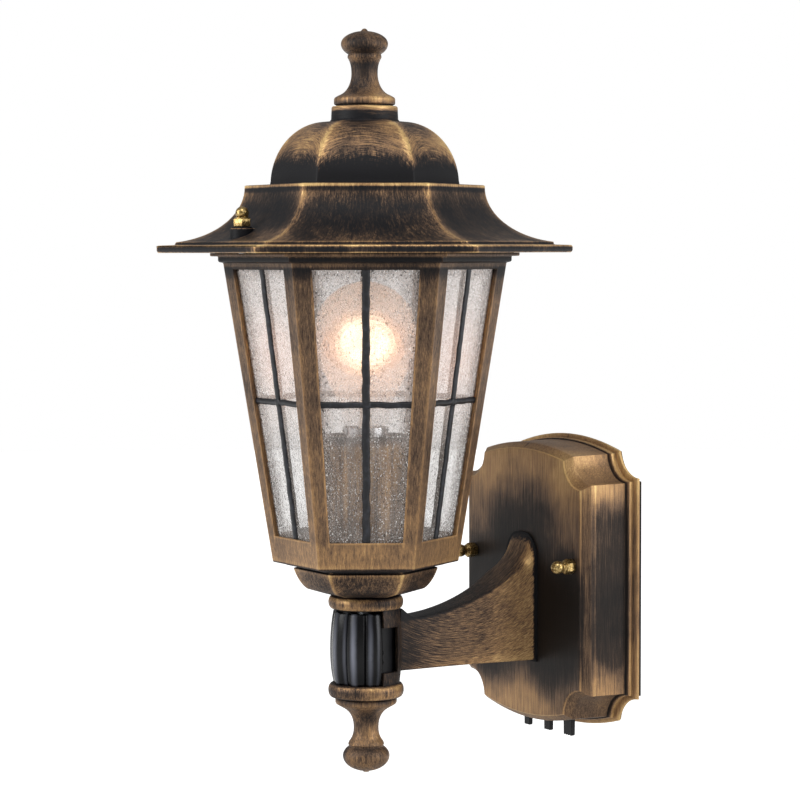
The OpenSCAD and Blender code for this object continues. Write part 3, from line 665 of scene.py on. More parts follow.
def cageFrame(s):
    (footWide, faceFoot), (headWide, faceHead) = s["face"]
    outer = [(20, 16.5), (45.6, 16.5), (46.2, 16.7), (46.6, 17.1), (53.4, 18.3), (54.0, 18.6),
             *s["face"], (82.3, 192.3), (84.1, 192.7), (84.8, 193.1), (85.1, 193.7), (85.1, 195.7),
             (85.4, 196.0), (89.0, 196.1), (89.5, 196.3), (89.7, 196.7), (89.7, 198)]
    bm = turned(outer, steps=6)
    outwards(bm, Vector((0, -reach, 0.1)))
    foot, head, narrow, wide = s["window"]
    panels = [f for f in bm.faces if 0.06 < f.calc_center_median().z < 0.15]
    spread = (headWide - footWide) / (faceHead - faceFoot)
    lean = atan2(spread * flat, 1)
    for offset, proud in s["bead"]:
        bmesh.ops.inset_individual(bm, faces=panels, thickness=0.5 * mm)
        for face in panels:
            side = face.calc_center_median() + Vector((0, reach, 0))
            side.z = 0
            side.normalize()
            along = Vector((-side.y, side.x, 0))
            middle = face.calc_center_median().z
            for v in face.verts:
                z = head + offset if v.co.z > middle else foot - offset
                half = narrow + (wide - narrow) * (z - foot) / (head - foot) + offset
                out = (footWide + (z - faceFoot) * spread) * flat + proud / cos(lean)
                hand = 1 if (v.co + Vector((0, reach, 0))).dot(along) > 0 else -1
                v.co = (side * out + along * half * hand + Vector((0, 0, z))) * mm - Vector((0, reach, 0))
    bmesh.ops.delete(bm, geom=panels, context="FACES")
    for f in bm.faces:
        f.normal_update()
    piece = makePiece(bm, "cageFrame", 24)
    thicken(piece, s["wall"])
    roundEdges(piece, 0.3)

    def beads(p, x, y, z):           # gold on the bead round each window
        edge = (z - foot * mm) * ((wide - narrow) / (head - foot)) + narrow * mm
        line = faceMiddle(x, y + reach) - edge
        side = line.band(0.0006, 0.0011)
        rail = z.band((foot - 0.5) * mm, 0.0011).most(z.band((head + 0.5) * mm, 0.0011))
        rail = rail * (1 - line.step(0.001, 0.002))
        inside = z.step((foot - 3) * mm, (foot - 2) * mm) * (1 - z.step((head + 2) * mm, (head + 3) * mm))
        return (side * inside).most(rail) * 0.14
    paint = dict(s["paint"], masks=(beads,))
    fitPiece(piece, "fixture", bronze("bronzeCage", paint), "bronze", "cage")


cupSet = {
    "paint": {"coverage": ((-0.5, 0.1), (1.2, 0.30), (4, 0.42), (8, 0.44), (12, 0.46), (14.3, 0.60),
                           (15.0, 0.15), (16.5, 0.05)),
              "corner": 0.3, "cornerWidth": 2.4, "seed": 0.21, "patchGain": 0.8},
    "ringPaint": {"coverage": ((-8.7, 0.3), (-7.9, 0.68), (-5, 0.44), (-2, 0.64), (-1.1, 0.25)),
                  "patchGain": 1.7, "seed": 0.5},
    "lowerPaint": {"coverage": ((-60.6, 0.2), (-59.6, 0.55), (-56, 0.40), (-53.4, 0.62), (-52.5, 0.3)),
                   "patchGain": 1.3, "seed": 0.65},
}


def baseCup(s):
    side = (34.3, 2.6), (37.6, 4.6), (40.6, 9.5), (42.3, 14.6)
    outer = [(23.5, -0.4)] + bezier(*side, 14) + [(42.0, 15.0), (40.6, 15.2), (40.6, 16.4)]
    inner = [(37.4, 16.4), (37.4, 14)] + [(r - 3, z + 1.6) for r, z in bezier(*side, 6)[-3::-1]]
    inner += [(23.5, 2.6), (8, 2.4), (8, -0.4)]
    bm = turned(outer + inner, steps=6, closed=True)
    softenCorners(bm, 0.9)
    piece = makePiece(outwards(bm), "baseCup", 28)
    roundEdges(piece, 0.3)
    fitPiece(piece, "fixture", bronze("bronzeCup", s["paint"]), "bronze", "base_cup")
    for name, node, low, high, r, paint in (
            ("neckRing", "neck_ring", -8.65, -1.2, 21.9, s["ringPaint"]),
            ("lowerRing", "lower_ring", -60.5, -52.55, 22.1, s["lowerPaint"])):
        core = r - 2.2
        rim = [(5.3, low), (core, low)]
        rim += arc(core, (low + high) / 2, 2.2, (high - low) / 2, -80, 80, 12) + [(core, high), (5.3, high)]
        ring = makePiece(outwards(turned(rim, closed=True)), name, 40)
        fitPiece(ring, "fixture", bronze("bronze" + name[0].upper() + name[1:], paint), "bronze", node)


dropSet = {
    "paint": {"coverage": ((-105.2, 0.5), (-101, 0.47), (-95, 0.45), (-90, 0.36), (-88.6, 0.50), (-84, 0.56),
                           (-76, 0.57), (-70, 0.66), (-66, 0.72), (-64, 0.72), (-61.4, 0.5)),
              "patchGain": 1.1, "fineGain": 0.65, "broadGain": 0.5, "seed": 0.91},
}


def bottomFinial(s):
    points = [(0, -105.1), (1.8, -105.1), (2.2, -104.4)]
    points += arc(0, -95.5, 13.7, 9, -80, 0, 14) + arc(0, -95.5, 13.7, 8.4, 5, 42, 8)
    points += [(10.2, -89.2), (10.6, -88.6)]
    points += bezier((10, -87), (8.3, -85), (7.3, -82.5), (7.3, -79), 8)
    points += bezier((7.3, -78.6), (7.4, -73), (9.4, -69), (14.3, -66.6), 10)
    points += [(17.4, -64.8), (18, -63.9), (18, -62), (17.6, -61.3), (14, -61.2), (14, -60.6), (5.3, -60.6)]
    points += [(5.3, -72), (0, -72)]
    piece = makePiece(outwards(turned(points)), "bottomFinial")
    roundEdges(piece, 0.35)
    fitPiece(piece, "fixture", bronze("bronzeBottomFinial", s["paint"]), "bronze", "bottom_finial")


cageFrame(cageSet)
baseCup(cupSet)
bottomFinial(dropSet)
print("cage and stem made")


# lead cames on the glass, one cross on each pane
cameSet = {
    "upright": 4.4, "crossbar": 3.6, "depth": 1.6,
    "crossHeight": 112.6, "wander": 0.6,
    "face": ((54.2, 19.0), (82.1, 192.2)),    # as the cage's, along the glass
    "stand": -3.1,              # the back of a came, behind the face
}


def leadCames(s):
    foot, head, narrow, wide = cageSet["window"]
    (faceWide, faceFoot), (headWide, faceHead) = s["face"]
    lean = atan2((headWide - faceWide) * flat, faceHead - faceFoot)
    up = 1 / cos(lean)
    lead = leadFinish("leadCame")
    for i in range(6):
        bm = bmesh.new()
        middle = (s["crossHeight"] - faceFoot) * up
        low, high = (foot - faceFoot) * up - 0.4, (head - faceFoot) * up + 0.4
        half = narrow + (wide - narrow) * (s["crossHeight"] - foot) / (head - foot) + 0.6
        for wideness, start, end, across in ((s["upright"], low, high, False),
                                             (s["crossbar"], -half, half, True)):
            length = end - start
            bar = rod(0.5 * mm, length * mm, 16, Matrix())
            cutAcross(bar, 2, int(length / 2.5), 1e-6)
            for v in bar.verts:
                t = v.co.z / mm + (start + end) / 2
                drift = noise.noise(Vector((t * 0.13, i * 7.3, 1.7 if across else 4.1))) * s["wander"]
                swell = 1 + 0.10 * noise.noise(Vector((t * 0.22, i * 3.1, 9.2 if across else 6.4)))
                nearEnd = min(t - start, end - t)
                swell *= 1 + 0.12 * max(0.0, 1 - nearEnd / 3)
                u = v.co.x / mm * wideness * swell + drift
                w = max(0.0, v.co.y / mm + 0.12) / 0.62 * s["depth"] + s["stand"]
                v.co = Vector((t, u + middle, w)) * mm if across else Vector((u, t, w)) * mm
            join(bm, bar)
        solder = bmesh.new()
        bmesh.ops.create_uvsphere(solder, u_segments=24, v_segments=12, radius=1.0 * mm,
                                  matrix=placed((0, middle * mm, (s["stand"] + 0.9) * mm), (3.1, 2.7, 1.15)))
        join(bm, solder)
        place = (Matrix.Translation((0, -reach, 0)) @ Matrix.Rotation(radians(60 * i), 4, "Z")
                 @ Matrix.Translation((0, -faceWide * flat * mm, faceFoot * mm))
                 @ Matrix.Rotation(pi / 2 + lean, 4, "X"))
        bmesh.ops.transform(bm, matrix=place, verts=bm.verts)
        piece = makePiece(outwards(bm), "leadCame" + str(i + 1), 50)
        fitPiece(piece, "fixture", lead, "lead", "lead_came_" + str(i + 1))


def leadFinish(name):
    p = Paint(name)
    cloud = p.noise(p.place, 260.0, 5.0, 0.65)
    grain = p.noise(p.place, 1500.0, 3.0, 0.6)
    tone = p.mix(cloud.step(0.45, 0.72), rgb("121317"), rgb("2c2e36"))
    return p.finish({"Base Color": tone, "Metallic": 0.25, "Roughness": 0.42 + (grain - 0.5) * 0.3,
                     "Normal": p.bump(cloud * 0.6 + grain * 0.4, 0.3, 0.0004)})


leadCames(cameSet)
glass = seededGlass(seedSet)
for i in range(6):
    pane = nodes["glass_pane_" + str(i + 1)].data
    pane.materials.clear()
    pane.materials.append(glass)
print("glass and cames made")


# arm with the sensor barrel's shell, its lens
armSet = {
    "foot": -46.0, "root": -38.5, "start": -129.0,    # underside, and the ends from the wall
    "edge": 1.5,
    "crown": 0.5,               # rise of the top face across the arm
    "shoulder": 11.0,           # how far the sides of the top fall at the root
    "fallFrom": (-56.0, 1.7),   # where they begin to fall, and how sharply
    "shoulderPower": 3.4,
    "bore": 18.1,               # radius of the hole for the barrel
    "window": (-45, -18.5, 11.4),    # the sensor's opening: foot, head and how far behind the axis
    "paint": {"coverage": ((-53, 0.3), (-47, 0.4), (-45, 0.58), (-40, 0.46), (-20, 0.45), (-12, 0.44),
                           (0, 0.44), (15, 0.44), (29, 0.5)),
              "grain": "out", "pivot": (-88, 50), "sweep": 0.0045, "fine": 3000.0, "broad": 1500.0,
              "patchGain": 0.35, "broadGain": 0.5, "fineGain": 0.95, "grime": 0.12, "seed": 0.42},
}


def along(points, y):
    # height or width at a distance from the wall, read off a line of points
    for (y0, v0), (y1, v1) in zip(points, points[1:]):
        if y <= y1:
            return v0 + (v1 - v0) * max(0.0, (y - y0) / max(y1 - y0, 1e-6))
    return points[-1][1]


def armGasket(s):
    # black gasket behind the arm's root, following its arched top
    low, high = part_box("arm_gasket")
    bm = bmesh.new()
    bmesh.ops.create_cube(bm, size=1.0)
    cutAcross(bm, 0, 23, 0.5)
    for v in bm.verts:
        top = high.z - s["shoulder"] * abs(v.co.x * 2) ** s["shoulderPower"] * mm
        v.co = Vector((v.co.x * (high.x - low.x), low.y if v.co.y < 0 else high.y,
                       top if v.co.z > 0 else low.z))
    piece = makePiece(outwards(bm), "armGasket", 30)
    rubber = plain("gasketRubber", "131316", 0.7, mottle=0.3, shine=0.15)
    fitPiece(piece, "fixture", rubber, "seal_rubber", "arm_gasket")


def armCasting(s):
    top = [(s["start"], -9.5), (-127, -9.6), (-125, -11.4), (-123, -13.6), (-120.5, -14.7)]
    top += bezier((-118, -15), (-93.8, -15), (-45.5, -1), (s["root"], 28.8), 44)
    width = [(s["start"], 9.5)] + bezier((-104, 9.5), (-80, 9.9), (-58, 12), (s["root"], 15), 20)
    bm = bmesh.new()
    bmesh.ops.create_cube(bm, size=1.0)
    cutAcross(bm, 1, len(top) - 2, 0.5)
    cutAcross(bm, 0, 11, 0.5)
    edges = [e for e in bm.edges
             if all(abs(abs(v.co.x) - 0.5) < 1e-4 and abs(abs(v.co.z) - 0.5) < 1e-4 for v in e.verts)]
    fallStart, fallPower = s["fallFrom"]
    fallLength = s["root"] - fallStart
    for v in bm.verts:
        step = round((v.co.y + 0.5) * (len(top) - 1))
        y, high = top[step]
        half = along(width, y)
        drop = s["crown"] + s["shoulder"] * max(0.0, (y - fallStart) / fallLength) ** fallPower
        high -= drop * abs(v.co.x * 2) ** s["shoulderPower"]
        v.co = Vector((v.co.x * 2 * half, y, high if v.co.z > 0 else s["foot"])) * mm
    bmesh.ops.bevel(bm, geom=edges, offset=s["edge"] * mm, segments=4, profile=0.5, affect="EDGES",
                    material=-1, clamp_overlap=True)
    bmesh.ops.remove_doubles(bm, verts=bm.verts, dist=1e-5)
    piece = makePiece(outwards(bm), "armCasting", 40)
    cutAway(piece, outwards(turned([(0, -60), (s["bore"], -60), (s["bore"], 0), (0, 0)], 64)))
    foot, head, behind = s["window"]
    window = block((-30, -reach / mm - 1, foot), (30, -reach / mm + behind, head))
    line = bezier((19.6, -52.5), (21.4, -40), (21.4, -22), (19.6, -8.7), 20)
    shell = turned(line + [(18.2, -8.7), (18.2, -52.5)], 60, True, start=0.4, sweep=179.2)
    bmesh.ops.holes_fill(shell, edges=[e for e in shell.edges if e.is_boundary], sides=0)
    barrel = makePiece(outwards(shell), "barrelShell", 40)
    cutAway(barrel, window)
    roundEdges(barrel, 0.35)

    def armMarksAndHighlight(p, x, y, z):           # dark top band, darker near the barrel, a painted highlight at the root
        upper = [(q[0] * mm, q[1] * mm) for q in top[5:]]
        low, high = upper[0][0], upper[-1][0]
        stops = [((a - low) / (high - low), ((b + 0.02) / 0.06,) * 3 + (1,)) for a, b in upper[::4]]
        at = p.add("ShaderNodeMapRange", {}, {"Value": y, "From Min": low, "From Max": high})["Result"]
        crest = p.ramp(at, stops) * 0.06 - 0.02
        fall = (y - fallStart * mm).most(0.0) / (fallLength * mm)
        near = abs(x) / (width[-1][1] * mm)
        crest = crest - fall ** fallPower * near ** s["shoulderPower"] * (s["shoulder"] * mm)
        band = (z - crest).step(-0.0024, -0.0006)
        ends = y.step(-0.124, -0.078) * 0.7 + y.step(-0.075, -0.050) * 0.3
        # painted highlight: a pale patch high on the arm's sides at its root
        paintedRootHighlight = y.step(-0.0480, -0.0415) * abs(x).step(0.0060, 0.0115) * z.step(0.004, 0.014)
        root = (y + 0.0392 + (p.noise(p.place, 500.0, 3.0) - 0.5) * 0.003).step(-0.0006, 0.0006)
        return ends * 0.36 - 0.17 - band * 0.20 + paintedRootHighlight * 0.26 - root * 0.40
    paint = dict(s["paint"], masks=(armMarksAndHighlight,))
    fitPiece(piece, "fixture", bronze("bronzeArm", paint), "bronze", "arm")
    cover = ((-53, 0.2), (-50, 0.34), (-30, 0.30), (-12, 0.34), (-8.6, 0.2))
    shellPaint = dict(s["paint"], coverage=cover, grain="upright")
    fitPiece(barrel, "fixture", bronze("bronzeBarrel", shellPaint), "bronze", "arm")


lensSet = {
    "wall": 1.4,
    "grooves": (-90.0, -58.2, -24.7, 24.7, 58.2, 90.0),    # round from the front
    "depth": 0.9, "grooveWidth": 1.8,
    "crown": 1.5,
    "ribs": ((0, 9, 0.55), (21, 5, 0.3), (39, 8, 0.75), (67, 6, 0.4), (80, 4, 0.2)),    # painted highlight streaks: turn from the front, width and strength
}


def sensorLens(s):
    line = bezier((19.3, -52.2), (22.4, -42), (21.6, -20), (19.2, -10.2), 26)
    bm = turned(line, 240, start=180, sweep=180)
    for v in bm.verts:
        out = Vector((v.co.x, v.co.y + reach, 0))
        turn = atan2(out.x, -out.y) * 180 / pi
        size = out.length
        gap = min(abs(turn - g) for g in s["grooves"])
        for low, high in zip(s["grooves"], s["grooves"][1:]):
            if low <= turn <= high:
                size += (s["crown"] * sin(pi * (turn - low) / (high - low)) - s["crown"]) * mm
        size -= s["depth"] * mm * max(0.0, 1 - gap / s["grooveWidth"]) ** 1.5
        out = out.normalized() * size
        v.co = Vector((out.x, out.y - reach, v.co.z))
    piece = makePiece(outwards(bm, Vector((0, -reach, -0.03))), "sensorLens", 60)
    thicken(piece, s["wall"])
    p = Paint("lensBlack")
    cloud = p.noise(p.place, 120.0, 3.0, 0.5)
    x, y, z = p.xyz()
    turn = abs(x.math("ARCTAN2", (y + reach) * -1)) + (cloud - 0.5) * 0.03
    # paler streaks painted into the base colour stand in for highlights, strongest at mid height
    ribs = 0
    for middle, width, strength in s["ribs"]:
        ribs = turn.band(radians(middle), radians(width)) * strength + ribs
    tone = p.mix(ribs * (z.band(-0.032, 0.026) * 0.7 + 0.3), rgb("050507"), rgb("7d808c"))
    gloss = p.finish({"Base Color": tone, "Roughness": 0.26 + (cloud - 0.5) * 0.08, "Specular IOR Level": 0.2,
                      "Normal": p.bump(p.noise(p.place, 60.0, 2.0, 0.5), 0.04, 0.001)})
    fitPiece(piece, "fixture", gloss, "lens_black", "sensor_lens")


armCasting(armSet)
armGasket(armSet)
sensorLens(lensSet)
print("arm and sensor made")


# backplate: bowed ends, coved corners, stepped and flanged edge
plateSet = {
    "bow": 184.0,
    # distance from the wall, half width, half height and corner cove
    "levels": ((37.3, 59.4, 79.2, 17.5), (37.25, 59.9, 79.7, 17.6), (37.0, 60.3, 80.0, 17.7),
               (32.9, 64.0, 83.3, 18.2), (32.4, 64.3, 83.6, 18.3), (31.7, 64.4, 83.8, 18.3),
               (20.0, 64.6, 84.0, 18.3), (8.6, 64.8, 84.2, 18.4), (7.9, 65.2, 84.4, 18.5),
               (7.7, 65.8, 84.8, 18.5), (7.4, 67.2, 85.2, 18.6), (6.9, 67.6, 85.4, 18.6),
               (4.9, 67.6, 85.4, 18.6), (4.4, 67.4, 85.3, 18.6), (4.0, 67.6, 85.6, 18.7),
               (3.8, 70.0, 87.3, 18.9), (3.4, 70.7, 87.8, 19.0), (2.6, 71.0, 88.0, 19.0),
               (1.9, 70.8, 87.8, 19.0), (1.5, 70.2, 87.3, 19.0)),
    "hollow": ((1.8, 62.0, 81.4, 21.2), (2.4, 61.3, 80.7, 21.3), (33.0, 61.3, 80.7, 21.3)),
    # each knob slot's middle and half width, what is added round them, and their depth and height
    "slots": ((-22, 2.8), (0, 3.2), (22, 4.3)),
    "slotMargin": 4.3, "slotDepth": (-20.2, -15.8), "slotHeight": (-92, -78),
    "paint": {"coverage": ((-88, 0.52), (-80, 0.60), (-68, 0.62), (-50, 0.48), (-20, 0.38), (20, 0.38),
                           (44, 0.48), (66, 0.70), (80, 0.70), (88, 0.58)),
              "colours": {"black": rgb("181412")}, "grime": 0.2, "patch": 20.0, "patchGain": 0.6,
              "fineGain": 0.6, "broadGain": 0.32, "seed": 0.05, "draw": 0.035},
}


def plateOutline(halfWide, halfHigh, cove, bow):
    # one quarter from the top's middle to the side's middle, then mirrored round
    drop = 3.5                       # the cove's centre below the bow's crown
    x = halfWide - cove
    for _ in range(8):               # closes in on where the bow meets the cove
        x = halfWide + cove * cos(pi + asin((x * x / (2 * bow) - drop) / cove))
    start = pi + asin((x * x / (2 * bow) - drop) / cove)
    quarter = [(x * i / 8, halfHigh - (x * i / 8) ** 2 / (2 * bow)) for i in range(9)]
    for i in range(1, 13):
        a = start + (1.5 * pi - start) * i / 12
        quarter.append((halfWide + cove * cos(a), halfHigh - drop + cove * sin(a)))
    quarter += [(halfWide, quarter[-1][1] * k) for k in (0.66, 0.33)]
    ring = quarter + [(halfWide, 0)] + [(px, -pz) for px, pz in quarter[::-1]]
    return ring + [(-px, pz) for px, pz in ring[1:-1][::-1]]


def backPlate(s):
    bm = bmesh.new()
    loops = []
    for depth, wide, high, cove in s["levels"] + s["hollow"]:
        outline = plateOutline(wide, high, cove, s["bow"])
        verts = [bm.verts.new((x * mm, -depth * mm, z * mm)) for x, z in outline]
        loops.append([bm.edges.new(pair) for pair in zip(verts, verts[1:] + verts[:1])])
    for first, second in zip(loops, loops[1:]):
        bmesh.ops.bridge_loops(bm, edges=first + second)
    for loop in (loops[0], loops[-1]):
        bmesh.ops.contextual_create(bm, geom=loop)
    piece = makePiece(outwards(bm), "backPlate", 28)
    for x, half in s["slots"]:
        half += s["slotMargin"]
        low, high = zip((x - half, x + half), s["slotDepth"], s["slotHeight"])
        cutAway(piece, outwards(block(low, high)))
    piece.data.shade_smooth()
    piece.data.set_sharp_from_angle(angle=radians(28))

    def wearAndPaintedShadow(p, x, y, z):            # gold on bevels and flange, dark in the step, and a painted shadow round the arm's root
        soft = (p.noise(p.place, 38.0, 3.0, 0.6) - 0.5) * 0.020
        bevel = y.band(-0.0352, 0.0032) * 0.04
        flange = y.step(-0.0074, -0.0068) * 0.20 + y.band(-0.0028, 0.0014) * 0.12
        flange = flange + y.band(-0.0368, 0.0007) * 0.22 + y.band(-0.0058, 0.0012) * 0.10
        groove = y.band(-0.0079, 0.0006) * 0.34 + y.band(-0.0041, 0.0004) * 0.12
        front = 1 - y.step(-0.0365, -0.0345)
        # painted shadow: the face darkens in a ring round the arm's root and in two patches below it
        ring = (x * x * 0.85 + (z - 0.004) * (z - 0.004) * 0.50).math("SQRT") + soft
        centre = 1 - ring.step(0.020, 0.052)
        dx, dz = abs(x) - 0.034, z + 0.020
        low = (dx * dx * 0.9 + dz * dz * 0.55).math("SQRT") + soft
        centre = centre.most((1 - low.step(0.020, 0.044)) * 1.15)
        edges = (abs(x) + soft * 0.5).step(0.046, 0.058)
        side = y.step(-0.0325, -0.0300) * (1 - y.step(-0.0088, -0.0080)) * abs(x).step(0.0600, 0.0635)
        # painted shade: the side wall darkens towards its middle height
        middle = 1 - (abs(z) + soft * 1.4).step(0.038, 0.056)
        joint = abs(x).band(0.0, 0.0006) * (1 - front) * 0.35
        line = y.band(-0.0292, 0.0012) * side * 0.16
        return (bevel + flange - groove - centre * front * 0.33 + edges * front * 0.03
                + side * (0.12 - middle * 0.26) + line - joint)
    paint = dict(s["paint"], masks=(wearAndPaintedShadow,))
    fitPiece(piece, "fixture", bronze("bronzePlate", paint), "bronze", "backplate")


backPlate(plateSet)


# lamp: frosted globe, lit coil and bloom, and knobs
lampSet = {
    "neck": 12.1, "globe": 30.0, "globeHeight": 151.6, "skin": 0.8,
}


def lampGlobe(s):
    outer = [(s["neck"], 80), (s["neck"], 97)] + bezier((13.5, 98.6), (14.5, 119), (30, 129), (30, 150.6), 26)
    outer += arc(0, s["globeHeight"], s["globe"], s["globe"], 2, 90, 26)
    bm = turned(outer, 96)
    piece = makePiece(outwards(bm, Vector((0, -reach, 0.15))), "lampGlobe", 60)
    thicken(piece, s["skin"])
    p = Paint("lampGlass")
    z = p.xyz()[2]
    cloud = p.noise(p.place, 60.0, 3.0, 0.5)
    warm = 1 - abs(z - lightHeight).step(0.004, 0.04)
    shine = p.mix(warm * (0.9 + (cloud - 0.5) * 0.4), rgb("8e8682"), rgb("b09f96"))
    frost = p.finish({"Base Color": p.mix(cloud, rgb("dccfc8"), rgb("ebe0da")), "Roughness": 0.45,
                      "Alpha": z.step(0.104, 0.136) * 0.30 + 0.10 + (cloud - 0.5) * 0.1,
                      "Emission Color": shine, "Emission Strength": 0.36,
                      "Normal": p.bump(cloud, 0.05, 0.001)})
    fitPiece(piece, "bulb", frost, "lamp_glass", "bulb_glass")


glowSet = {
    "coil": 0.9, "coilLength": 28, "height": 146.0,
    "leg": (14.0, 21.6, 25.5, 0.35),    # a leg's run outwards, fall, length and radius
    "shells": (6.0, 8.5, 11.0, 13.5, 16.0, 19.0), "across": 1.3,
}


def lampGlow(s):
    # the lit coil and the soft bloom round it
    centre = (0, -reach, s["height"] * mm)
    bm = rod(s["coil"] * mm, s["coilLength"] * mm, 16, placed(centre) @ Matrix.Rotation(pi / 2, 4, "Y"))
    run, fall, length, radius = s["leg"]
    for hand in (-1, 1):
        place = placed((hand * run / 2 * mm, -reach, (s["height"] - fall / 2) * mm))
        tilt = Matrix.Rotation(hand * atan2(run, fall), 4, "Y")
        join(bm, rod(radius * mm, length * mm, 12, place @ tilt))
    coil = makePiece(outwards(bm), "lampCoil")
    fitPiece(coil, "bulb", finishes["filament"], "filament", "bulb_filament")
    p = Paint("lampBloom")
    cloud = p.noise(p.place, 95.0, 3.0, 0.6)
    x, y, z = p.xyz()
    out, rise = y + reach, z - s["height"] * mm
    size = (x * x + out * out + rise * rise).math("SQRT").step(0.011, 0.025)
    tone = p.mix(size, p.mix(cloud, rgb("ffe3b4"), rgb("fff3dc")), rgb("b8783e"))
    soft = p.finish({"Base Color": (0, 0, 0, 1), "Roughness": 1.0, "Specular IOR Level": 0.0,
                     "Alpha": 0.28 - size * 0.19 + (cloud - 0.5) * 0.5, "Emission Color": tone,
                     "Emission Strength": 9.0})
    for number, size in enumerate(s["shells"]):
        bm = bmesh.new()
        bmesh.ops.create_uvsphere(bm, u_segments=48, v_segments=24, radius=size * mm,
                                  matrix=placed(centre, (s["across"], s["across"], 1)))
        fitPiece(makePiece(outwards(bm), "lampBloom" + str(number + 1)), "bulb", soft, "filament")


knobSet = {
    "names": (("on_time_knob", "onTimeKnob"), ("range_knob", "rangeKnob"), ("mode_knob", "modeKnob")),
    "ribs": 3, "groove": 0.7,
    "tip": (1.2, 0.35),         # height of the thinned tip, and what it loses on each side
}


def knobs(s):
    black = plain("knobBlack", "161618", 0.45, mottle=0.3, relief=0.2, shine=0.2)
    tip, thin = s["tip"]
    for node, name in s["names"]:
        low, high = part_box(node)
        bm = bmesh.new()
        size = high - low
        bmesh.ops.create_cube(bm, size=1.0, matrix=placed((low + high) / 2, size))
        cutAcross(bm, 0, s["ribs"] * 2, 1e-5)
        for v in bm.verts:
            step = round((v.co.x - low.x) / size.x * (s["ribs"] * 2 + 1))
            if step % 2 == 1 and v.co.z < low.z + 1e-5:
                v.co.z += s["groove"] * mm
            if v.co.z < low.z + tip * mm:
                v.co.y += (thin if v.co.y < (low.y + high.y) / 2 else -thin) * mm
        piece = makePiece(outwards(bm), name, 30)
        roundEdges(piece, 0.25)
        fitPiece(piece, node, black, "black_plastic", node)


lampGlobe(lampSet)
knobs(knobSet)
print("backplate, lamp and knobs made")


# the nodes that keep their own shape get the finish of their slot
finishes = {
    "seal_rubber": plain("sealRubber", "17171a", 0.7, mottle=0.35, relief=0.25, shine=0.15),
    "sleeve_paint": bronze("bronzeSleeve", {
        "coverage": ((22, 0.26), (34, 0.48), (60, 0.62), (86, 0.60), (91, 0.3), (92.5, 0.2)),
        "broad": 130.0, "broadGain": 1.1, "patchGain": 0.4, "draw": 0.03, "seed": 0.8}),
    "porcelain": plain("porcelain", "e6e0d2", 0.14, mottle=0.08, coat=0.5),
    "contact_brass": plain("contactBrass", "c29a55", 0.3, metal=1.0, mottle=0.3),
    "clear_glass": plain("stemGlass", "e8e8e6", 0.08, mottle=0.05),
    "filament": plain("filamentWire", "ffd9a0", 0.4, metal=0.6, mottle=0.1),
    "bright_metal": plain("brightMetal", "c9cacd", 0.25, metal=1.0, mottle=0.15),
    "zinc_steel": plain("zincSteel", "a9abad", 0.38, metal=1.0, mottle=0.25),
    "black_plastic": plain("blackPlastic", "141416", 0.4, mottle=0.3, shine=0.15),
    "circuit_board": plain("circuitBoard", "1d5c38", 0.35, mottle=0.3, coat=0.3),
    "photocell_face": plain("photocellFace", "a8563c", 0.2, mottle=0.5, scale=900.0),
    "relay_case": plain("relayCase", "274a8f", 0.35, mottle=0.15),
    "capacitor_film": plain("capacitorFilm", "c76a1d", 0.22, mottle=0.15, coat=0.4),
    "green_steel": plain("greenSteel", "1f7a34", 0.4, metal=0.5, mottle=0.2),
}
lampGlow(glowSet)
slots = {part["node"]: part["material_slot"] for part in frame["record"]["subparts"]}
for name, node in nodes.items():
    if slots[name] in finishes:
        node.data.materials.clear()
        node.data.materials.append(finishes[slots[name]])


# studio: pale floor, white surround, soft lights
studioSet = {
    "floorHeight": -0.95, "floorSize": 14.0,
    "paleFrom": (1.65, 3.3),    # the floor turns white between these distances
    "surround": 0.36,
    # place round the lantern, height, distance, size and power
    "softboxes": ((-12, 0.55, 1.5, 0.9, 18.0), (128, 0.35, 1.5, 0.9, 14.5), (60, 1.3, 1.0, 0.9, 11.0)),
    "boxShape": 1.3,            # a softbox's height over its width
    "lampPower": 0.09, "lampColour": (1.0, 0.62, 0.32), "lampSize": 0.012,
}


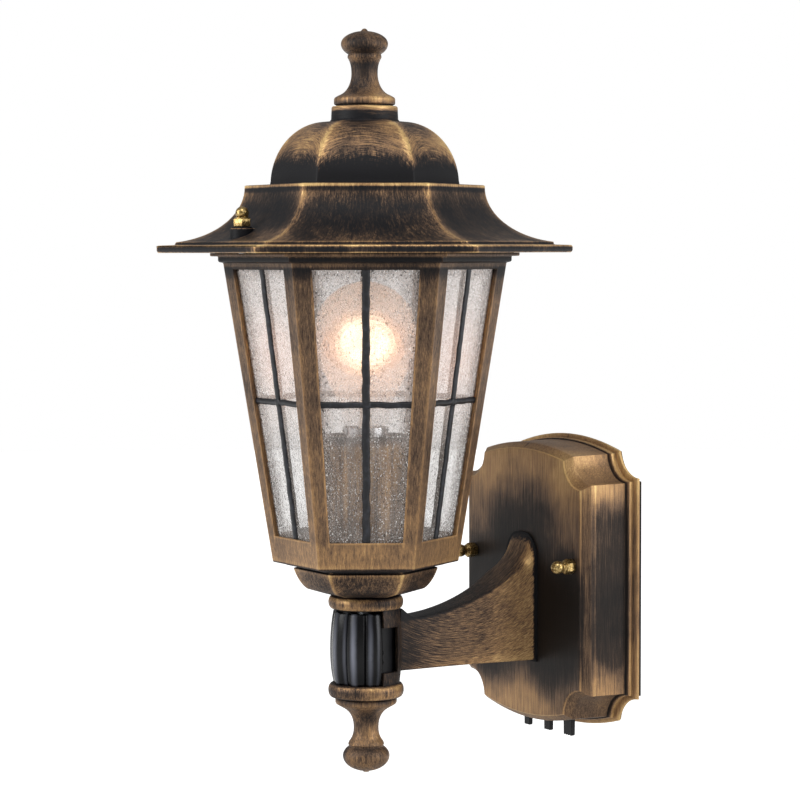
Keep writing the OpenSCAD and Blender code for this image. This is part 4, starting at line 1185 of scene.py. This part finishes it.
def studio(s):
    world = bpy.data.worlds.new("studio")
    bpy.context.scene.world = world
    world.use_nodes = True
    tree = world.node_tree
    background = tree.nodes["Background"]
    path = tree.nodes.new("ShaderNodeLightPath")
    level = tree.nodes.new("ShaderNodeMath")
    level.operation = "MULTIPLY_ADD"
    level.inputs[1].default_value = 1.0 - s["surround"]
    level.inputs[2].default_value = s["surround"]
    tree.links.new(path.outputs["Is Camera Ray"], level.inputs[0])
    tree.links.new(level.outputs[0], background.inputs["Strength"])
    background.inputs["Color"].default_value = (1, 1, 1, 1)

    bm = bmesh.new()
    bmesh.ops.create_circle(bm, cap_ends=True, segments=64, radius=s["floorSize"],
                            matrix=placed((0, 0, s["floorHeight"])))
    floor = makePiece(bm, "floor")
    p = Paint("paleFloor")
    x, y, _ = p.xyz()
    away = (x * x + y * y).math("SQRT").step(*s["paleFrom"])
    grain = p.noise(p.place, 40.0, 3.0, 0.5)
    tone = p.mix(grain, rgb("e9e9e8"), rgb("f2f2f1"))
    glow = p.mix(away, rgb("181818"), rgb("ffffff"))
    floor.data.materials.append(p.finish({"Base Color": tone, "Roughness": 0.8, "Specular IOR Level": 0.1,
                                          "Emission Color": glow, "Emission Strength": 1.0}))

    target = Vector((0, -reach, 0.1))
    for number, (turn, height, distance, size, power) in enumerate(s["softboxes"]):
        data = bpy.data.lights.new("softbox" + str(number + 1), "AREA")
        data.shape = "RECTANGLE"
        data.size = size
        data.size_y = size * s["boxShape"]
        data.energy = power
        box = bpy.data.objects.new(data.name, data)
        a = radians(turn)
        place = target + Vector((sin(a), -cos(a), 0)) * distance + Vector((0, 0, height))
        aim = (target - place).to_track_quat("-Z", "Y")
        box.matrix_world = Matrix.Translation(place) @ aim.to_matrix().to_4x4()
        bpy.context.collection.objects.link(box)
    data = bpy.data.lights.new("lampLight", "POINT")
    data.energy = s["lampPower"]
    data.color = s["lampColour"]
    data.shadow_soft_size = s["lampSize"]
    glow = bpy.data.objects.new("lampLight", data)
    glow.location = (0, -reach, lightHeight)
    bpy.context.collection.objects.link(glow)


studio(studioSet)
bpy.context.scene.view_settings.view_transform = "Standard"
print("studio made")
